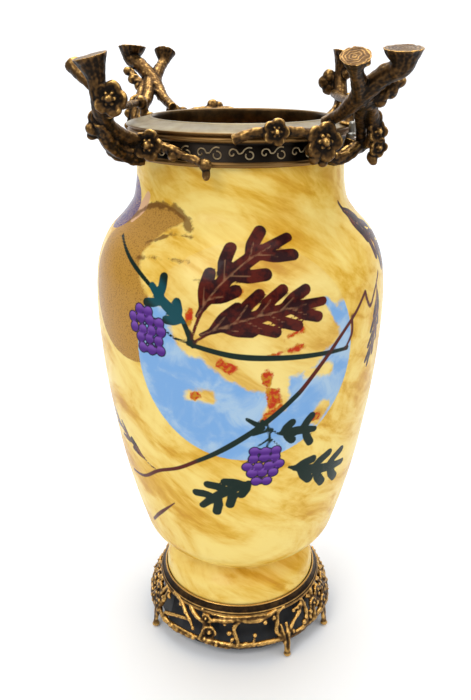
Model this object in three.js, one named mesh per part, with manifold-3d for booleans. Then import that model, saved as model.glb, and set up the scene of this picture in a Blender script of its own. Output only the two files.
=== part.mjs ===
// Opaline glass vase with gilt bronze mounts: a hollow painted vase that stands in an openwork foot,
// with a collar round its mouth and four cast branches of blossom fixed round the collar.
// Millimetres, Z up, origin at the centre of the underside. Angles are in degrees from the front (-Y)
// round towards the right (+X). A place on a casting is [radius, angle, height].
import * as THREE from "three";
import { mergeVertices } from "three/addons/utils/BufferGeometryUtils.js";
import Module from "manifold-3d";

const wasm = await Module();
wasm.setup();

// General sizes
const FIT = 0.3; // gap between pieces that touch
const ROUND_SIDES = 24; // sides of the turned pieces
const HALF_TURN = 180; // the second of each pair of castings faces the other way

// Glass vase
const GLASS_WALL = 4;
const GLASS_UNDERSIDE = 37; // height of the glass's underside
const GLASS_FOOT_RADIUS = 57;
const GLASS_FOOT_HEIGHT = 27.7; // from the underside up to the waist
const GLASS_WAIST_RADIUS = 44.2;
const BELLY_RADIUS = 97;
const BELLY_HEIGHT = 262;
const NECK_RADIUS = 67.6;
const NECK_HEIGHT = 338; // where the shoulder has become the straight neck
const NECK_LENGTH = 34; // from there to the glass's edge, hidden under the collar

// Collar round the mouth
const COLLAR_RISE = 7.4; // the top plate's height above the glass's edge
const COLLAR_DROP = 15.7; // how far the collar reaches down the neck from that edge
const COLLAR_OVERHANG = 4.6; // how far the top plate stands out from the neck
const COLLAR_EDGE_DROP = 4.4; // how far the plate slopes down to its outer edge
const PLATE_REACH = 12.2; // how far the plate reaches in over the mouth
const PLATE_THICKNESS = 3;
const SLEEVE_DEPTH = 27; // the lip turned down inside the glass
const SLEEVE_WALL = 1.6;
const FRIEZE_WALL = 1.5;
const FRIEZE_FOOT = 3.6; // from the collar's bottom edge up to the frieze
const FRIEZE_HEIGHT = 8.2;
const LOWER_BEAD = 1.2; // how far the beads stand out from the frieze
const UPPER_BEAD = 1.9;
const BEAD_HEIGHT = 1.8;
const GROOVE = 0.9;
const SCROLLS = 10;
const SCROLL_RELIEF = 0.8;

// Castings on the collar. Their tables are written in parts, of which the tallest stub has 62.
const BRANCH_PART = 1;
const CUT_DEPTH = 31; // how far below the collar the cut that clears the glass reaches
const PETALS = 5;

// Bolts that fix two of the castings
const BOLT_RADIUS = 2.6;
const BOLT_FLANGE_RADIUS = 3.8;
const BOLT_FLANGE_HEIGHT = 2;
const BOLT_HEIGHT = 8.6;
const BOLT_ANGLE = 59.5;
const BOLT_RISE = 14.1; // from the collar's bottom edge up to the flange

// Foot mount
const RING_RISE = 4.8; // how far the ring reaches up round the glass's foot
const RING_THICKNESS = 3.8; // below the glass's underside
const RING_WIDTH = 5.8; // out from the glass's foot
const LEDGE_WIDTH = 7; // the ledge under the glass
const SKIRT_SPREAD = 7.4; // how far the openwork's rim stands out past the ring
const RIM_HEIGHT = 15.2;
const RIM_THICKNESS = 3.4;
const TWIG_RADIUS = 1.8;
const FOOT_ANGLES = [-64, 29, 65];
const TOE_RADIUS = 3.4;
const TOE_SPREAD = 2.8; // how far the toes stand out past the rim

// Dark inner cup behind the openwork
const CUP_BOTTOM = 5;
const CUP_WALL = 2;
const CUP_CLEARANCE = 7; // from the rim in to the cup's foot

// Sizes that follow
const GLASS_WAIST_HEIGHT = GLASS_UNDERSIDE + GLASS_FOOT_HEIGHT;
const MOUTH_HEIGHT = NECK_HEIGHT + NECK_LENGTH;
const COLLAR_TOP = MOUTH_HEIGHT + COLLAR_RISE;
const COLLAR_BOTTOM = MOUTH_HEIGHT - COLLAR_DROP;
const COLLAR_EDGE_RADIUS = NECK_RADIUS + COLLAR_OVERHANG;
const OPENING_RADIUS = NECK_RADIUS - PLATE_REACH;
const FRIEZE_RADIUS = NECK_RADIUS + FIT + FRIEZE_WALL;
const FRIEZE_BOTTOM = COLLAR_BOTTOM + FRIEZE_FOOT;
const FRIEZE_TOP = FRIEZE_BOTTOM + FRIEZE_HEIGHT;
const RING_TOP = GLASS_UNDERSIDE + RING_RISE;
const RING_BOTTOM = GLASS_UNDERSIDE - RING_THICKNESS;
const RING_EDGE_RADIUS = GLASS_FOOT_RADIUS + RING_WIDTH;
const LEDGE_RADIUS = GLASS_FOOT_RADIUS - LEDGE_WIDTH;
const SKIRT_TOP_RADIUS = RING_EDGE_RADIUS - TWIG_RADIUS;
const SKIRT_TOP_HEIGHT = RING_BOTTOM + TWIG_RADIUS;
const RIM_RADIUS = RING_EDGE_RADIUS + SKIRT_SPREAD;
const FOOT_SPREAD = RIM_RADIUS + TOE_SPREAD;

const radians = THREE.MathUtils.degToRad;
const lerp = THREE.MathUtils.lerp;

function place([radius, angle, height]) {
  const a = radians(angle);
  return new THREE.Vector3(radius * Math.sin(a), -radius * Math.cos(a), height);
}

// Solids

function solidOf(geometry) {
  const bare = geometry.clone();
  for (const name of ["normal", "uv"]) {
    bare.deleteAttribute(name);
  }
  const merged = mergeVertices(bare, 1e-4);
  return new wasm.Manifold(
    new wasm.Mesh({
      numProp: 3,
      vertProperties: merged.attributes.position.array,
      triVerts: new Uint32Array(merged.index.array),
    }),
  );
}

function unite(solids) {
  return solids.reduce((whole, next) => whole.add(next));
}

function meshOf(name, solid, material) {
  const made = solid.getMesh();
  const geometry = new THREE.BufferGeometry();
  geometry.setAttribute("position", new THREE.BufferAttribute(made.vertProperties, 3));
  geometry.setIndex(new THREE.BufferAttribute(made.triVerts, 1));
  const mesh = new THREE.Mesh(geometry, material.clone());
  mesh.name = name;
  return mesh;
}

// A ring or vessel turned from a closed profile of [radius, height], which runs up the outside.
function turned(profile) {
  const points = profile.map(([radius, height]) => new THREE.Vector2(radius, height));
  if (profile[0][0] > 0) {
    points.push(points[0].clone());
  }
  const geometry = new THREE.LatheGeometry(points, ROUND_SIDES);
  geometry.rotateX(Math.PI / 2);
  return solidOf(geometry);
}

// A round limb along a smooth curve through places of [radius, angle, height, thickness].
function limb(stations, { sides = 5, steps = 5, gnarl = 0 } = {}) {
  const curve = new THREE.CatmullRomCurve3(stations.map(place), false, "centripetal");
  const frames = curve.computeFrenetFrames(steps);
  const geometry = new THREE.CylinderGeometry(1, 1, 1, sides, steps);
  const position = geometry.attributes.position;
  for (let i = 0; i < position.count; i += 1) {
    const step = Math.round((position.getY(i) + 0.5) * steps);
    const along = curve.getUtoTmapping(step / steps) * (stations.length - 1);
    const before = Math.min(Math.floor(along), stations.length - 2);
    const across = Math.atan2(position.getZ(i), position.getX(i));
    const knot = 1 + gnarl * Math.sin(step * 2.4 + Math.round((across * sides) / Math.PI) * 1.9);
    const radius = lerp(stations[before][3], stations[before + 1][3], along - before) * knot;
    const spot = curve.getPointAt(step / steps);
    spot.addScaledVector(frames.normals[step], position.getX(i) * radius);
    spot.addScaledVector(frames.binormals[step], -position.getZ(i) * radius);
    position.setXYZ(i, spot.x, spot.y, spot.z);
  }
  return solidOf(geometry);
}

// Turns a shape made about the origin, facing +Z, so that it faces out from the axis, tipped upwards.
function facingOut(geometry, spot, lift) {
  const [, angle] = spot;
  geometry.rotateX(radians(90 - lift));
  geometry.rotateZ(radians(angle));
  const centre = place(spot);
  geometry.translate(centre.x, centre.y, centre.z);
  return solidOf(geometry);
}

// A blossom from its heart outwards and round to the back, as shares [radius, depth of the lobes, height].
const BLOSSOM_ROWS = [[0, 0, 1.3], [0.36, 0, 0.45], [0.88, 0.12, 0.75], [0.6, 0, -0.7], [0, 0, -1]];

function blossom(spot, radius, thickness, lift) {
  const petals = new THREE.SphereGeometry(1, PETALS * 2, BLOSSOM_ROWS.length - 1);
  petals.rotateX(Math.PI / 2);
  const position = petals.attributes.position;
  for (let i = 0; i < position.count; i += 1) {
    const around = Math.atan2(position.getY(i), position.getX(i));
    const row = Math.round((Math.acos(position.getZ(i)) * (BLOSSOM_ROWS.length - 1)) / Math.PI);
    const [share, lobes, height] = BLOSSOM_ROWS[row];
    const reach = radius * (share + lobes * Math.cos(PETALS * around));
    position.setXYZ(i, reach * Math.cos(around), reach * Math.sin(around), height * thickness);
  }
  return facingOut(petals, spot, lift);
}

// A small flat blossom without a heart.
function rosette(spot, radius, thickness, lift) {
  const petals = new THREE.SphereGeometry(1, PETALS + 1, 3);
  petals.rotateX(Math.PI / 2);
  petals.scale(radius, radius, thickness);
  return facingOut(petals, spot, lift);
}

// A bud, berry or knob: an egg that points outwards.
function bud(spot, radius, length, lift) {
  const egg = new THREE.SphereGeometry(1, 4, 3);
  egg.rotateX(Math.PI / 2);
  egg.scale(radius, radius, length);
  return facingOut(egg, spot, lift);
}

// A leaf: a flat pointed lens that lies against what carries it.
function leaf(spot, length, width, thickness, lift) {
  const blade = new THREE.SphereGeometry(1, 6, 2);
  blade.rotateX(Math.PI / 2);
  blade.scale(width / 2, length / 2, thickness / 2);
  return facingOut(blade, spot, lift);
}

// Glass

// Shares of the way from the waist to the belly, as [height, radius].
const LOWER_BODY = [
  [0, 0], [0.045, 0.2], [0.1, 0.43], [0.179, 0.547], [0.306, 0.675], [0.432, 0.779],
  [0.6, 0.882], [0.8, 0.97], [1, 1],
];

// Shares of the way from the belly to the neck, as [height, radius].
const SHOULDER = [[0.184, 0.024], [0.4, 0.11], [0.605, 0.353], [0.763, 0.726], [0.88, 0.93], [1, 1]];

// Shares of the way up the glass's foot, with the radius as a share of the foot's radius.
const GLASS_FOOT = [[0, 0.94], [0.17, 1], [0.5, 0.985], [0.8, 0.886]];

function glassOutline() {
  const rise = GLASS_WAIST_HEIGHT - GLASS_UNDERSIDE;
  const foot = GLASS_FOOT.map(([up, share]) => [GLASS_FOOT_RADIUS * share, GLASS_UNDERSIDE + up * rise]);
  const body = LOWER_BODY.map(([up, out]) => [
    lerp(GLASS_WAIST_RADIUS, BELLY_RADIUS, out),
    lerp(GLASS_WAIST_HEIGHT, BELLY_HEIGHT, up),
  ]);
  const shoulder = SHOULDER.map(([up, out]) => [
    lerp(BELLY_RADIUS, NECK_RADIUS, out),
    lerp(BELLY_HEIGHT, NECK_HEIGHT, up),
  ]);
  return [...foot, ...body, ...shoulder, [NECK_RADIUS, MOUTH_HEIGHT]];
}

// The inside, one wall in from the outline.
function insideOf(outline, wall) {
  const inside = [];
  for (let i = 1; i < outline.length - 1; i += 2) {
    const [r0, z0] = outline[i - 1];
    const [r1, z1] = outline[i + 1];
    const run = Math.hypot(r1 - r0, z1 - z0);
    const [radius, height] = outline[i];
    inside.push([radius - (wall * (z1 - z0)) / run, height + (wall * (r1 - r0)) / run]);
  }
  return inside;
}

function vase() {
  const outline = glassOutline();
  const [flatRadius] = outline[0];
  const floor = GLASS_UNDERSIDE + GLASS_WALL;
  const inside = insideOf(outline, GLASS_WALL).filter(([, height]) => height > floor + 1);
  const innerNeck = NECK_RADIUS - GLASS_WALL;
  return turned([
    [0, GLASS_UNDERSIDE],
    ...outline,
    [innerNeck, MOUTH_HEIGHT],
    [innerNeck, NECK_HEIGHT],
    ...inside.filter(([, height]) => height < NECK_HEIGHT - 1).reverse(),
    [flatRadius - GLASS_WALL, floor],
    [0, floor],
  ]);
}

// Collar

function scroll(angle) {
  const middle = (FRIEZE_BOTTOM + FRIEZE_TOP) / 2;
  const half = FRIEZE_HEIGHT / 2;
  const span = (HALF_TURN * 2) / SCROLLS;
  const shape = [[-0.42, 0.5], [-0.2, -0.6], [0.2, 0.6], [0.42, -0.5]];
  const places = shape.map(([side, up]) => [
    FRIEZE_RADIUS,
    angle + side * span,
    middle + up * half,
    SCROLL_RELIEF,
  ]);
  return limb(places, { sides: 3, steps: 3 });
}

function collar() {
  const edge = COLLAR_TOP - COLLAR_EDGE_DROP;
  const ring = turned([
    [NECK_RADIUS + FIT, COLLAR_BOTTOM],
    [FRIEZE_RADIUS + LOWER_BEAD, COLLAR_BOTTOM],
    [FRIEZE_RADIUS + LOWER_BEAD, COLLAR_BOTTOM + BEAD_HEIGHT],
    [FRIEZE_RADIUS, FRIEZE_BOTTOM],
    [FRIEZE_RADIUS, FRIEZE_TOP],
    [FRIEZE_RADIUS + UPPER_BEAD, FRIEZE_TOP + GROOVE],
    [FRIEZE_RADIUS + UPPER_BEAD, FRIEZE_TOP + GROOVE + BEAD_HEIGHT],
    [FRIEZE_RADIUS - GROOVE, edge - GROOVE],
    [COLLAR_EDGE_RADIUS, edge],
    [OPENING_RADIUS, COLLAR_TOP],
    [OPENING_RADIUS, COLLAR_TOP - SLEEVE_DEPTH],
    [OPENING_RADIUS + SLEEVE_WALL, COLLAR_TOP - SLEEVE_DEPTH],
    [OPENING_RADIUS + SLEEVE_WALL, COLLAR_TOP - PLATE_THICKNESS],
    [NECK_RADIUS + FIT, MOUTH_HEIGHT + FIT],
  ]);
  const scrolls = Array.from({ length: SCROLLS }, (_, i) => scroll((i * HALF_TURN * 2) / SCROLLS));
  return unite([ring, ...scrolls]);
}

// The space that the collar and the glass take, with the fit round it, cut out of the branches.
function collarSpace() {
  const edge = COLLAR_TOP - COLLAR_EDGE_DROP;
  const below = COLLAR_BOTTOM - CUT_DEPTH;
  return turned([
    [0, below],
    [NECK_RADIUS + 2 * FIT, below],
    [NECK_RADIUS + 2 * FIT, COLLAR_BOTTOM - FIT],
    [COLLAR_EDGE_RADIUS + 2 * FIT, COLLAR_BOTTOM - FIT],
    [COLLAR_EDGE_RADIUS + 2 * FIT, edge + FIT],
    [OPENING_RADIUS, COLLAR_TOP + 3 * FIT],
    [0, COLLAR_TOP + 3 * FIT],
  ]);
}

// Branches: heights count from the collar's bottom edge, radii from its outer edge, both in parts.
// Every other size of a casting is in the same parts.

function onCollar([out, angle, up]) {
  return [COLLAR_EDGE_RADIUS + out * BRANCH_PART, angle, COLLAR_BOTTOM + up * BRANCH_PART];
}

// A limb of a casting through places of [out, angle, up, thickness].
function bough(stations, options) {
  return limb(stations.map((station) => [...onCollar(station), station[3] * BRANCH_PART]), options);
}

function collarBlossom([out, angle, up, radius, thickness, lift]) {
  return blossom(onCollar([out, angle, up]), radius * BRANCH_PART, thickness * BRANCH_PART, lift);
}

function collarRosette([out, angle, up, radius, thickness, lift]) {
  return rosette(onCollar([out, angle, up]), radius * BRANCH_PART, thickness * BRANCH_PART, lift);
}

function collarBud([out, angle, up, radius, length, lift]) {
  return bud(onCollar([out, angle, up]), radius * BRANCH_PART, length * BRANCH_PART, lift);
}

function collarLeaf([out, angle, up, length, width, thickness, lift]) {
  const [long, wide, thick] = [length, width, thickness].map((size) => size * BRANCH_PART);
  return leaf(onCollar([out, angle, up]), long, wide, thick, lift);
}

// The casting with one upright stub, a hanging twig and a rail that runs back to a ball.

const RAIL_STUB = [
  [3, -46, 12, 4], [15, -45.7, 15.5, 3.7], [30, -44.4, 23, 4.2], [39, -41.6, 31.5, 4.9],
  [43, -39.9, 41, 4.7], [44.3, -39.8, 49.5, 5.4], [46.6, -40.3, 59.4, 9.8],
];
const RAIL_SIDE_STUB = [[41, -42, 43, 3.4], [43, -46.5, 49, 3.4], [42.5, -51, 54.5, 5]];
const RAIL_LEG = [
  [3, -50, 1, 4.6], [18, -49, 7.5, 5.4], [31, -45.8, 16, 4.6], [38, -43.2, 26, 3.6],
];
const RAIL = [[38, -39, 31, 3.2], [18, -52, 29.5, 3], [5, -80, 28.5, 2.7], [1.2, -112, 28.4, 2.4]];
const RAIL_POST = [[0, -115, 28, 2.6], [-0.6, -117, 19, 3.2]];
const HANGING_TWIG = [
  [2.4, -40, 11, 3], [2.8, -32, 9.6, 3.2], [1.8, -27, 7, 2.6], [2.2, -21, 4.8, 2.4], [4, -15.5, 2, 2.8],
];
// Blossoms as [out, angle, up, radius, thickness, lift]
const RAIL_BLOSSOMS = [[4.6, -44, 11.2, 8.2, 3.2, 4], [41, -35.8, 38.4, 9, 3.2, 8]];
// Buds as [out, angle, up, radius, length, lift]
const RAIL_BUDS = [
  [0.8, -114.5, 28.7, 4.8, 4.8, 90],
  [38.5, -46, 22, 4, 5, 10],
  [4.4, -15, 2.4, 3.8, 3.6, 10],
  [4.6, -14.6, -2.4, 2.8, 4.6, -80],
];
// Leaves as [out, angle, up, length, width, thickness, lift]
const RAIL_LEAVES = [[39, -45.4, 28.6, 8, 7, 5, 20], [-1.5, -117, 20.6, 11, 7, 4, 82]];

function branchWithRail() {
  return unite([
    bough(RAIL_STUB, { steps: 6 }),
    bough(RAIL_SIDE_STUB, { sides: 4, steps: 2 }),
    bough(RAIL_LEG, { sides: 4, steps: 4, gnarl: 0.14 }),
    bough(RAIL, { sides: 4, steps: 3 }),
    bough(RAIL_POST, { sides: 3, steps: 1 }),
    bough(HANGING_TWIG, { sides: 4, steps: 4 }),
    ...RAIL_BLOSSOMS.map(collarBlossom),
    ...RAIL_BUDS.map(collarBud),
    ...RAIL_LEAVES.map(collarLeaf),
  ]);
}

// The casting with two upright stubs, two legs and a flowering twig along the front of the collar.

const OUTER_STUB = [
  [0.4, 40.5, 23.6, 3.2], [15, 38.6, 29, 3.8], [34, 37.4, 42, 5.6], [44, 38.4, 49.6, 5.4],
  [52, 38.8, 54.5, 6.2], [55.6, 38.4, 62.4, 10.6],
];
const INNER_STUB = [[30, 37.5, 38, 5], [37, 33, 47, 4.2], [42, 29.6, 53, 4.2], [46, 28.2, 59.4, 9]];
const BOLT_LEG = [[33, 38.6, 40, 4.8], [21, 44.6, 30, 4.2], [15, 51.5, 22, 3.6], [12, 56, 12, 3.4]];
const FRONT_LEG = [
  [4.4, 39, 5.6, 4], [6.6, 43, 3.6, 4.4], [10.4, 48.7, 6.6, 4.2], [13.4, 55.6, 10.4, 3.8],
  [20, 53.5, 12, 3.4],
];
const CLUSTER_STEM = [[20, 53, 11, 3.4], [23, 51, 20, 3.8], [27, 46, 30, 3.4], [33, 41, 38, 3.4]];
const BARK_RIDGE = [[34, 41.5, 37, 3.2], [42, 42.6, 42.6, 3.8], [48, 42.4, 48, 2.6]];
const FRONT_TWIG = [
  [4, 34, 16, 4], [4.8, 25, 19.6, 3.2], [4.4, 14, 20, 3.4], [3, 4, 19.4, 3.2], [1.8, -3.6, 15.6, 3.6],
];
const BOLT_LUG = [[2.6, BOLT_ANGLE, 7, 4.6], [4.2, BOLT_ANGLE, BOLT_RISE - FIT, 4.6]];
const LUG_ARM = [[3.4, BOLT_ANGLE, 8, 3.8], [12, 56.5, 8.6, 3.6]];
const STUB_BLOSSOMS = [[6, 36, 14.6, 11.4, 3.2, 6], [5.4, 13.8, 20.2, 7.6, 3.2, 6]];
const STUB_ROSETTES = [[25, 50.7, 18.9, 7, 3.2, 10], [26, 51.4, 10.7, 6, 3.2, -10]];
const STUB_BUDS = [[24, 50.4, 4.4, 3, 4.4, -60]];
const STUB_LEAVES = [[25.8, 49.6, 28, 9, 9, 5, 30]];

function branchWithTwoStubs() {
  return unite([
    bough(OUTER_STUB, { steps: 6 }),
    bough(INNER_STUB, { steps: 4 }),
    bough(BOLT_LEG, { sides: 4, steps: 4 }),
    bough(FRONT_LEG, { sides: 4, steps: 4, gnarl: 0.12 }),
    bough(CLUSTER_STEM, { sides: 3, steps: 3 }),
    bough(BARK_RIDGE, { sides: 3, steps: 3, gnarl: 0.2 }),
    bough(FRONT_TWIG, { sides: 4, steps: 4 }),
    bough(BOLT_LUG, { sides: 4, steps: 1 }),
    bough(LUG_ARM, { sides: 3, steps: 1 }),
    ...STUB_BLOSSOMS.map(collarBlossom),
    ...STUB_ROSETTES.map(collarRosette),
    ...STUB_BUDS.map(collarBud),
    ...STUB_LEAVES.map(collarLeaf),
  ]);
}

const boltSpot = place([
  COLLAR_EDGE_RADIUS + FIT + BOLT_FLANGE_RADIUS,
  BOLT_ANGLE,
  COLLAR_BOTTOM + BOLT_RISE,
]);

// The room round a bolt, cut out of the casting that it holds.
function boltSpace() {
  const radius = BOLT_FLANGE_RADIUS + 2 * FIT;
  const well = new THREE.CylinderGeometry(radius, radius, BOLT_HEIGHT + 2 * FIT, 8);
  well.rotateX(Math.PI / 2);
  well.translate(boltSpot.x, boltSpot.y, boltSpot.z + BOLT_HEIGHT / 2);
  return solidOf(well);
}

function fixingBolt() {
  const flange = new THREE.CylinderGeometry(BOLT_FLANGE_RADIUS, BOLT_FLANGE_RADIUS, BOLT_FLANGE_HEIGHT, 6);
  flange.translate(0, BOLT_FLANGE_HEIGHT / 2, 0);
  const stud = new THREE.CylinderGeometry(BOLT_RADIUS * 0.85, BOLT_RADIUS, BOLT_HEIGHT - 1, 10);
  stud.translate(0, (BOLT_HEIGHT + 1) / 2, 0);
  const parts = [flange, stud].map((geometry) => {
    geometry.rotateX(Math.PI / 2);
    geometry.translate(boltSpot.x, boltSpot.y, boltSpot.z);
    return solidOf(geometry);
  });
  return unite(parts);
}

// Foot mount

// A place on the openwork: the share of the way down from the ring to the rim.
function onSkirt([angle, down, proud = 0]) {
  return [
    lerp(SKIRT_TOP_RADIUS, RIM_RADIUS, down) + proud * TWIG_RADIUS,
    angle,
    lerp(SKIRT_TOP_HEIGHT, RIM_HEIGHT, down),
  ];
}

// Twigs of one half of the openwork, each through places of [angle, share down].
const TWIGS = [
  [[-61, 0.95], [-40, 0.6], [-24, 0.27], [-10, 0.08]],
  [[-44, 0.04], [-30, 0.42]],
  [[-22, 0.2], [-17, 1]],
  [[-3, 0.04], [1, 1]],
  [[92, 0.04], [99, 0.5], [96, 1]],
];

// Blossoms of one half, as [angle, share down, radius in twig thicknesses].
const SKIRT_BLOSSOMS = [[-18, 0.66, 3], [63, 0.4, 3.6], [98, 0.5, 4]];

// Buds of one half, as [angle, share down].
const SKIRT_BUDS = [[-43, 0.16]];
const SKIRT_BLOSSOM_ANGLE = -20; // they face a little downwards
const SKIRT_BUD_ANGLE = -60;

function ring() {
  const seat = GLASS_FOOT_RADIUS + FIT;
  const step = RING_RISE / 2;
  return turned([
    [LEDGE_RADIUS, RING_BOTTOM],
    [RING_EDGE_RADIUS - step / 2, RING_BOTTOM],
    [RING_EDGE_RADIUS, RING_BOTTOM + step],
    [RING_EDGE_RADIUS - step, GLASS_UNDERSIDE + step / 2],
    [seat + step / 2, RING_TOP],
    [seat, RING_TOP],
    [seat, GLASS_UNDERSIDE - FIT],
    [LEDGE_RADIUS, GLASS_UNDERSIDE - FIT],
  ]);
}

function rim() {
  const half = RIM_THICKNESS / Math.SQRT2;
  const profile = Array.from({ length: 4 }, (_, i) => {
    const a = radians(i * 90 - 45);
    return [RIM_RADIUS + half * Math.cos(a), RIM_HEIGHT + half * Math.sin(a)];
  });
  return turned(profile);
}

function clawFoot(angle) {
  const leg = limb(
    [
      [...onSkirt([angle, 0.04]), TWIG_RADIUS],
      [...onSkirt([angle, 0.6]), TWIG_RADIUS * 1.3],
      [...onSkirt([angle, 1, 0.6]), TWIG_RADIUS * 1.7],
      [FOOT_SPREAD, angle, TOE_RADIUS * 0.8, TOE_RADIUS * 0.7],
    ],
    { sides: 3, steps: 3 },
  );
  const toe = new THREE.SphereGeometry(TOE_RADIUS, 5, 3);
  const spot = place([FOOT_SPREAD, angle, TOE_RADIUS * 0.45]);
  toe.rotateX(Math.PI / 2);
  toe.translate(spot.x, spot.y, spot.z);
  const position = toe.attributes.position;
  for (let i = 0; i < position.count; i += 1) {
    position.setZ(i, Math.max(position.getZ(i), 0));
  }
  return leg.add(solidOf(toe));
}

function skirtTwig(places, turn) {
  const stations = places.map(([angle, down]) => [...onSkirt([angle + turn, down]), TWIG_RADIUS]);
  return limb(stations, { sides: 3, steps: places.length - 1 });
}

function skirtBlossom([angle, down, radius], turn) {
  const spot = onSkirt([angle + turn, down, 0.5]);
  return rosette(spot, radius * TWIG_RADIUS, TWIG_RADIUS * 1.4, SKIRT_BLOSSOM_ANGLE);
}

function skirtBud([angle, down], turn) {
  return bud(onSkirt([angle + turn, down, 0.3]), TWIG_RADIUS * 1.2, TWIG_RADIUS * 1.5, SKIRT_BUD_ANGLE);
}

function footMount() {
  const halves = [0, HALF_TURN].flatMap((turn) => [
    ...TWIGS.map((places) => skirtTwig(places, turn)),
    ...SKIRT_BLOSSOMS.map((row) => skirtBlossom(row, turn)),
    ...SKIRT_BUDS.map((row) => skirtBud(row, turn)),
    ...FOOT_ANGLES.map((angle) => clawFoot(angle + turn)),
  ]);
  return unite([ring(), rim(), ...halves]);
}

// The cup widens downwards and is open underneath.
function innerCup() {
  const top = RING_BOTTOM - FIT;
  const topRadius = SKIRT_TOP_RADIUS - CUP_WALL - TWIG_RADIUS * 2;
  const footRadius = RIM_RADIUS - CUP_CLEARANCE;
  return turned([
    [0, top - CUP_WALL],
    [topRadius - CUP_WALL, top - CUP_WALL],
    [footRadius - CUP_WALL, CUP_BOTTOM],
    [footRadius, CUP_BOTTOM],
    [topRadius, top],
    [0, top],
  ]);
}

// Materials and the whole

const glass = new THREE.MeshStandardMaterial({ color: 0xd9ad4c, roughness: 0.18, metalness: 0 });
const gilt = new THREE.MeshStandardMaterial({ color: 0x8a6a38, roughness: 0.38, metalness: 1 });
const plate = new THREE.MeshStandardMaterial({ color: 0x9a9078, roughness: 0.35, metalness: 1 });
const dark = new THREE.MeshStandardMaterial({ color: 0x15161a, roughness: 0.5, metalness: 0.4 });
const steel = new THREE.MeshStandardMaterial({ color: 0x8e908c, roughness: 0.35, metalness: 1 });

const space = collarSpace();
const railCasting = branchWithRail().subtract(space);
const stubCasting = branchWithTwoStubs().subtract(space).subtract(boltSpace());
const bolt = fixingBolt();

// The second of each pair stands opposite the first.
const opposite = new THREE.Group();
opposite.rotation.z = radians(HALF_TURN);
opposite.add(
  meshOf("branch_back_right", railCasting, gilt),
  meshOf("branch_back_left", stubCasting, gilt),
  meshOf("fixing_bolt_left", bolt, steel),
);

const object = new THREE.Group();
object.add(
  meshOf("opaline_vase", vase(), glass),
  meshOf("rim_collar", collar(), plate),
  meshOf("branch_front_left", railCasting, gilt),
  meshOf("branch_front_right", stubCasting, gilt),
  meshOf("fixing_bolt_right", bolt, steel),
  meshOf("foot_mount", footMount(), gilt),
  meshOf("inner_cup", innerCup(), dark),
  opposite,
);

export default object;
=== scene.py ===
from math import cos, pi, radians, sin

import bmesh
import bpy
import numpy as np
from mathutils import Matrix, Vector, noise


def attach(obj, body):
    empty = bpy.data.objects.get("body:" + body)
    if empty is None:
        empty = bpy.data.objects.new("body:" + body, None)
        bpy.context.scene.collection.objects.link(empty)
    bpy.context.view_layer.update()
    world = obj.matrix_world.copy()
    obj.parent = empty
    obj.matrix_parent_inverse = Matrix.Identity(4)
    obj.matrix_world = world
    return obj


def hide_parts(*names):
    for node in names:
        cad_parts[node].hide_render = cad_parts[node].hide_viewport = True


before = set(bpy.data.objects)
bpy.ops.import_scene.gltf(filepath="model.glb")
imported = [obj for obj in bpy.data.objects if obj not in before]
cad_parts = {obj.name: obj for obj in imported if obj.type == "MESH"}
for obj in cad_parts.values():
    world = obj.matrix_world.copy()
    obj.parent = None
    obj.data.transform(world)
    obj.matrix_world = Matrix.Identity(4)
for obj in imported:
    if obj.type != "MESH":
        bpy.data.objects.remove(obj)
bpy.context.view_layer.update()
MM = 0.001

# Camera, floor and light
CAMERA_SPOT = (-3.2, -498, 420)
CAMERA_TILT = 68  # degrees up from looking straight down
CAMERA_LENS = 38.78
FLOOR_HALF = 3200
COVE_START = 900  # where the floor begins to curve up behind the vase
COVE_RADIUS = 900
FLOOR_WHITE = (0.88, 0.9, 0.93, 1)
WORLD_DIM = 0.12  # light from the level of the vase and below
WORLD_BRIGHT = 0.95  # light from above

# Glass
GLASS_WALL = 4
GLASS_UNDERSIDE = 37
GLASS_FOOT_RADIUS = 57
GLASS_WAIST_RADIUS = 44.2
GLASS_WAIST_HEIGHT = 64.7
BELLY_RADIUS = 97
BELLY_HEIGHT = 262
NECK_RADIUS = 67.6
NECK_HEIGHT = 338
MOUTH_HEIGHT = 372
GLASS_SIDES = 360
GLASS_STEP = 1.5  # between the rings of the painted surface

# Collar
COLLAR_BOTTOM = 356.3
COLLAR_TOP = 379.4
COLLAR_EDGE_RADIUS = 72.2
COLLAR_EDGE_DROP = 4.4
OPENING_RADIUS = 55.4
SLEEVE_DEPTH = 27
SLEEVE_WALL = 1.6
FRIEZE_WALL = 1.5
FRIEZE_BOTTOM = 360.2
FRIEZE_TOP = 368.4
SCROLLS = 24
SCROLL_THICKNESS = 0.5
METAL_SIDES = 224

# Foot mount
RING_TOP = 41.8
RING_BOTTOM = 33.2
RING_EDGE_RADIUS = 62.8
LEDGE_RADIUS = 50
SKIRT_TOP_RADIUS = 61
SKIRT_TOP_HEIGHT = 35
RIM_RADIUS = 70.2
RIM_HEIGHT = 15.2
FOOT_ANGLES = (-64, 29, 65)
FOOT_SPREAD = 73
TOE_RADIUS = 3.4

# Castings and bolts
FIT = 0.3
CASTING_GRAIN = 0.46  # size of the cells that fuse a casting
FOOT_GRAIN = 0.64
PETALS = 5
PETAL_CUP = 0.42  # of a petal's thickness
PISTILS = 6
BOLT_ANGLE = 59.5
BOLT_FOOT_HEIGHT = 370.4
FLANGE_RADIUS = 3.8
FLANGE_THICKNESS = 1.6
STUD_RADIUS = 2.6
STUD_HEIGHT = 8.6
THREADS = 7
THREAD_PITCH = 0.8
THREAD_DEPTH = 0.35
BARK_ROUGHNESS = 0.28
FOOT_ROUGHNESS = 0.14
SAWN_FACE_DEPTH = 1.2  # the rings are marked this near to the sawn face
SAWN_RING_DEPTH = 0.09
SAWN_RING_RATE = 3.4  # radians of a ring for each millimetre out
RAIL_STUB_FACE = 8.6  # radii of the sawn ends
OUTER_STUB_FACE = 9.4
INNER_STUB_FACE = 7.8


def lerp(low, high, share):
    return low + (high - low) * share


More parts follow.
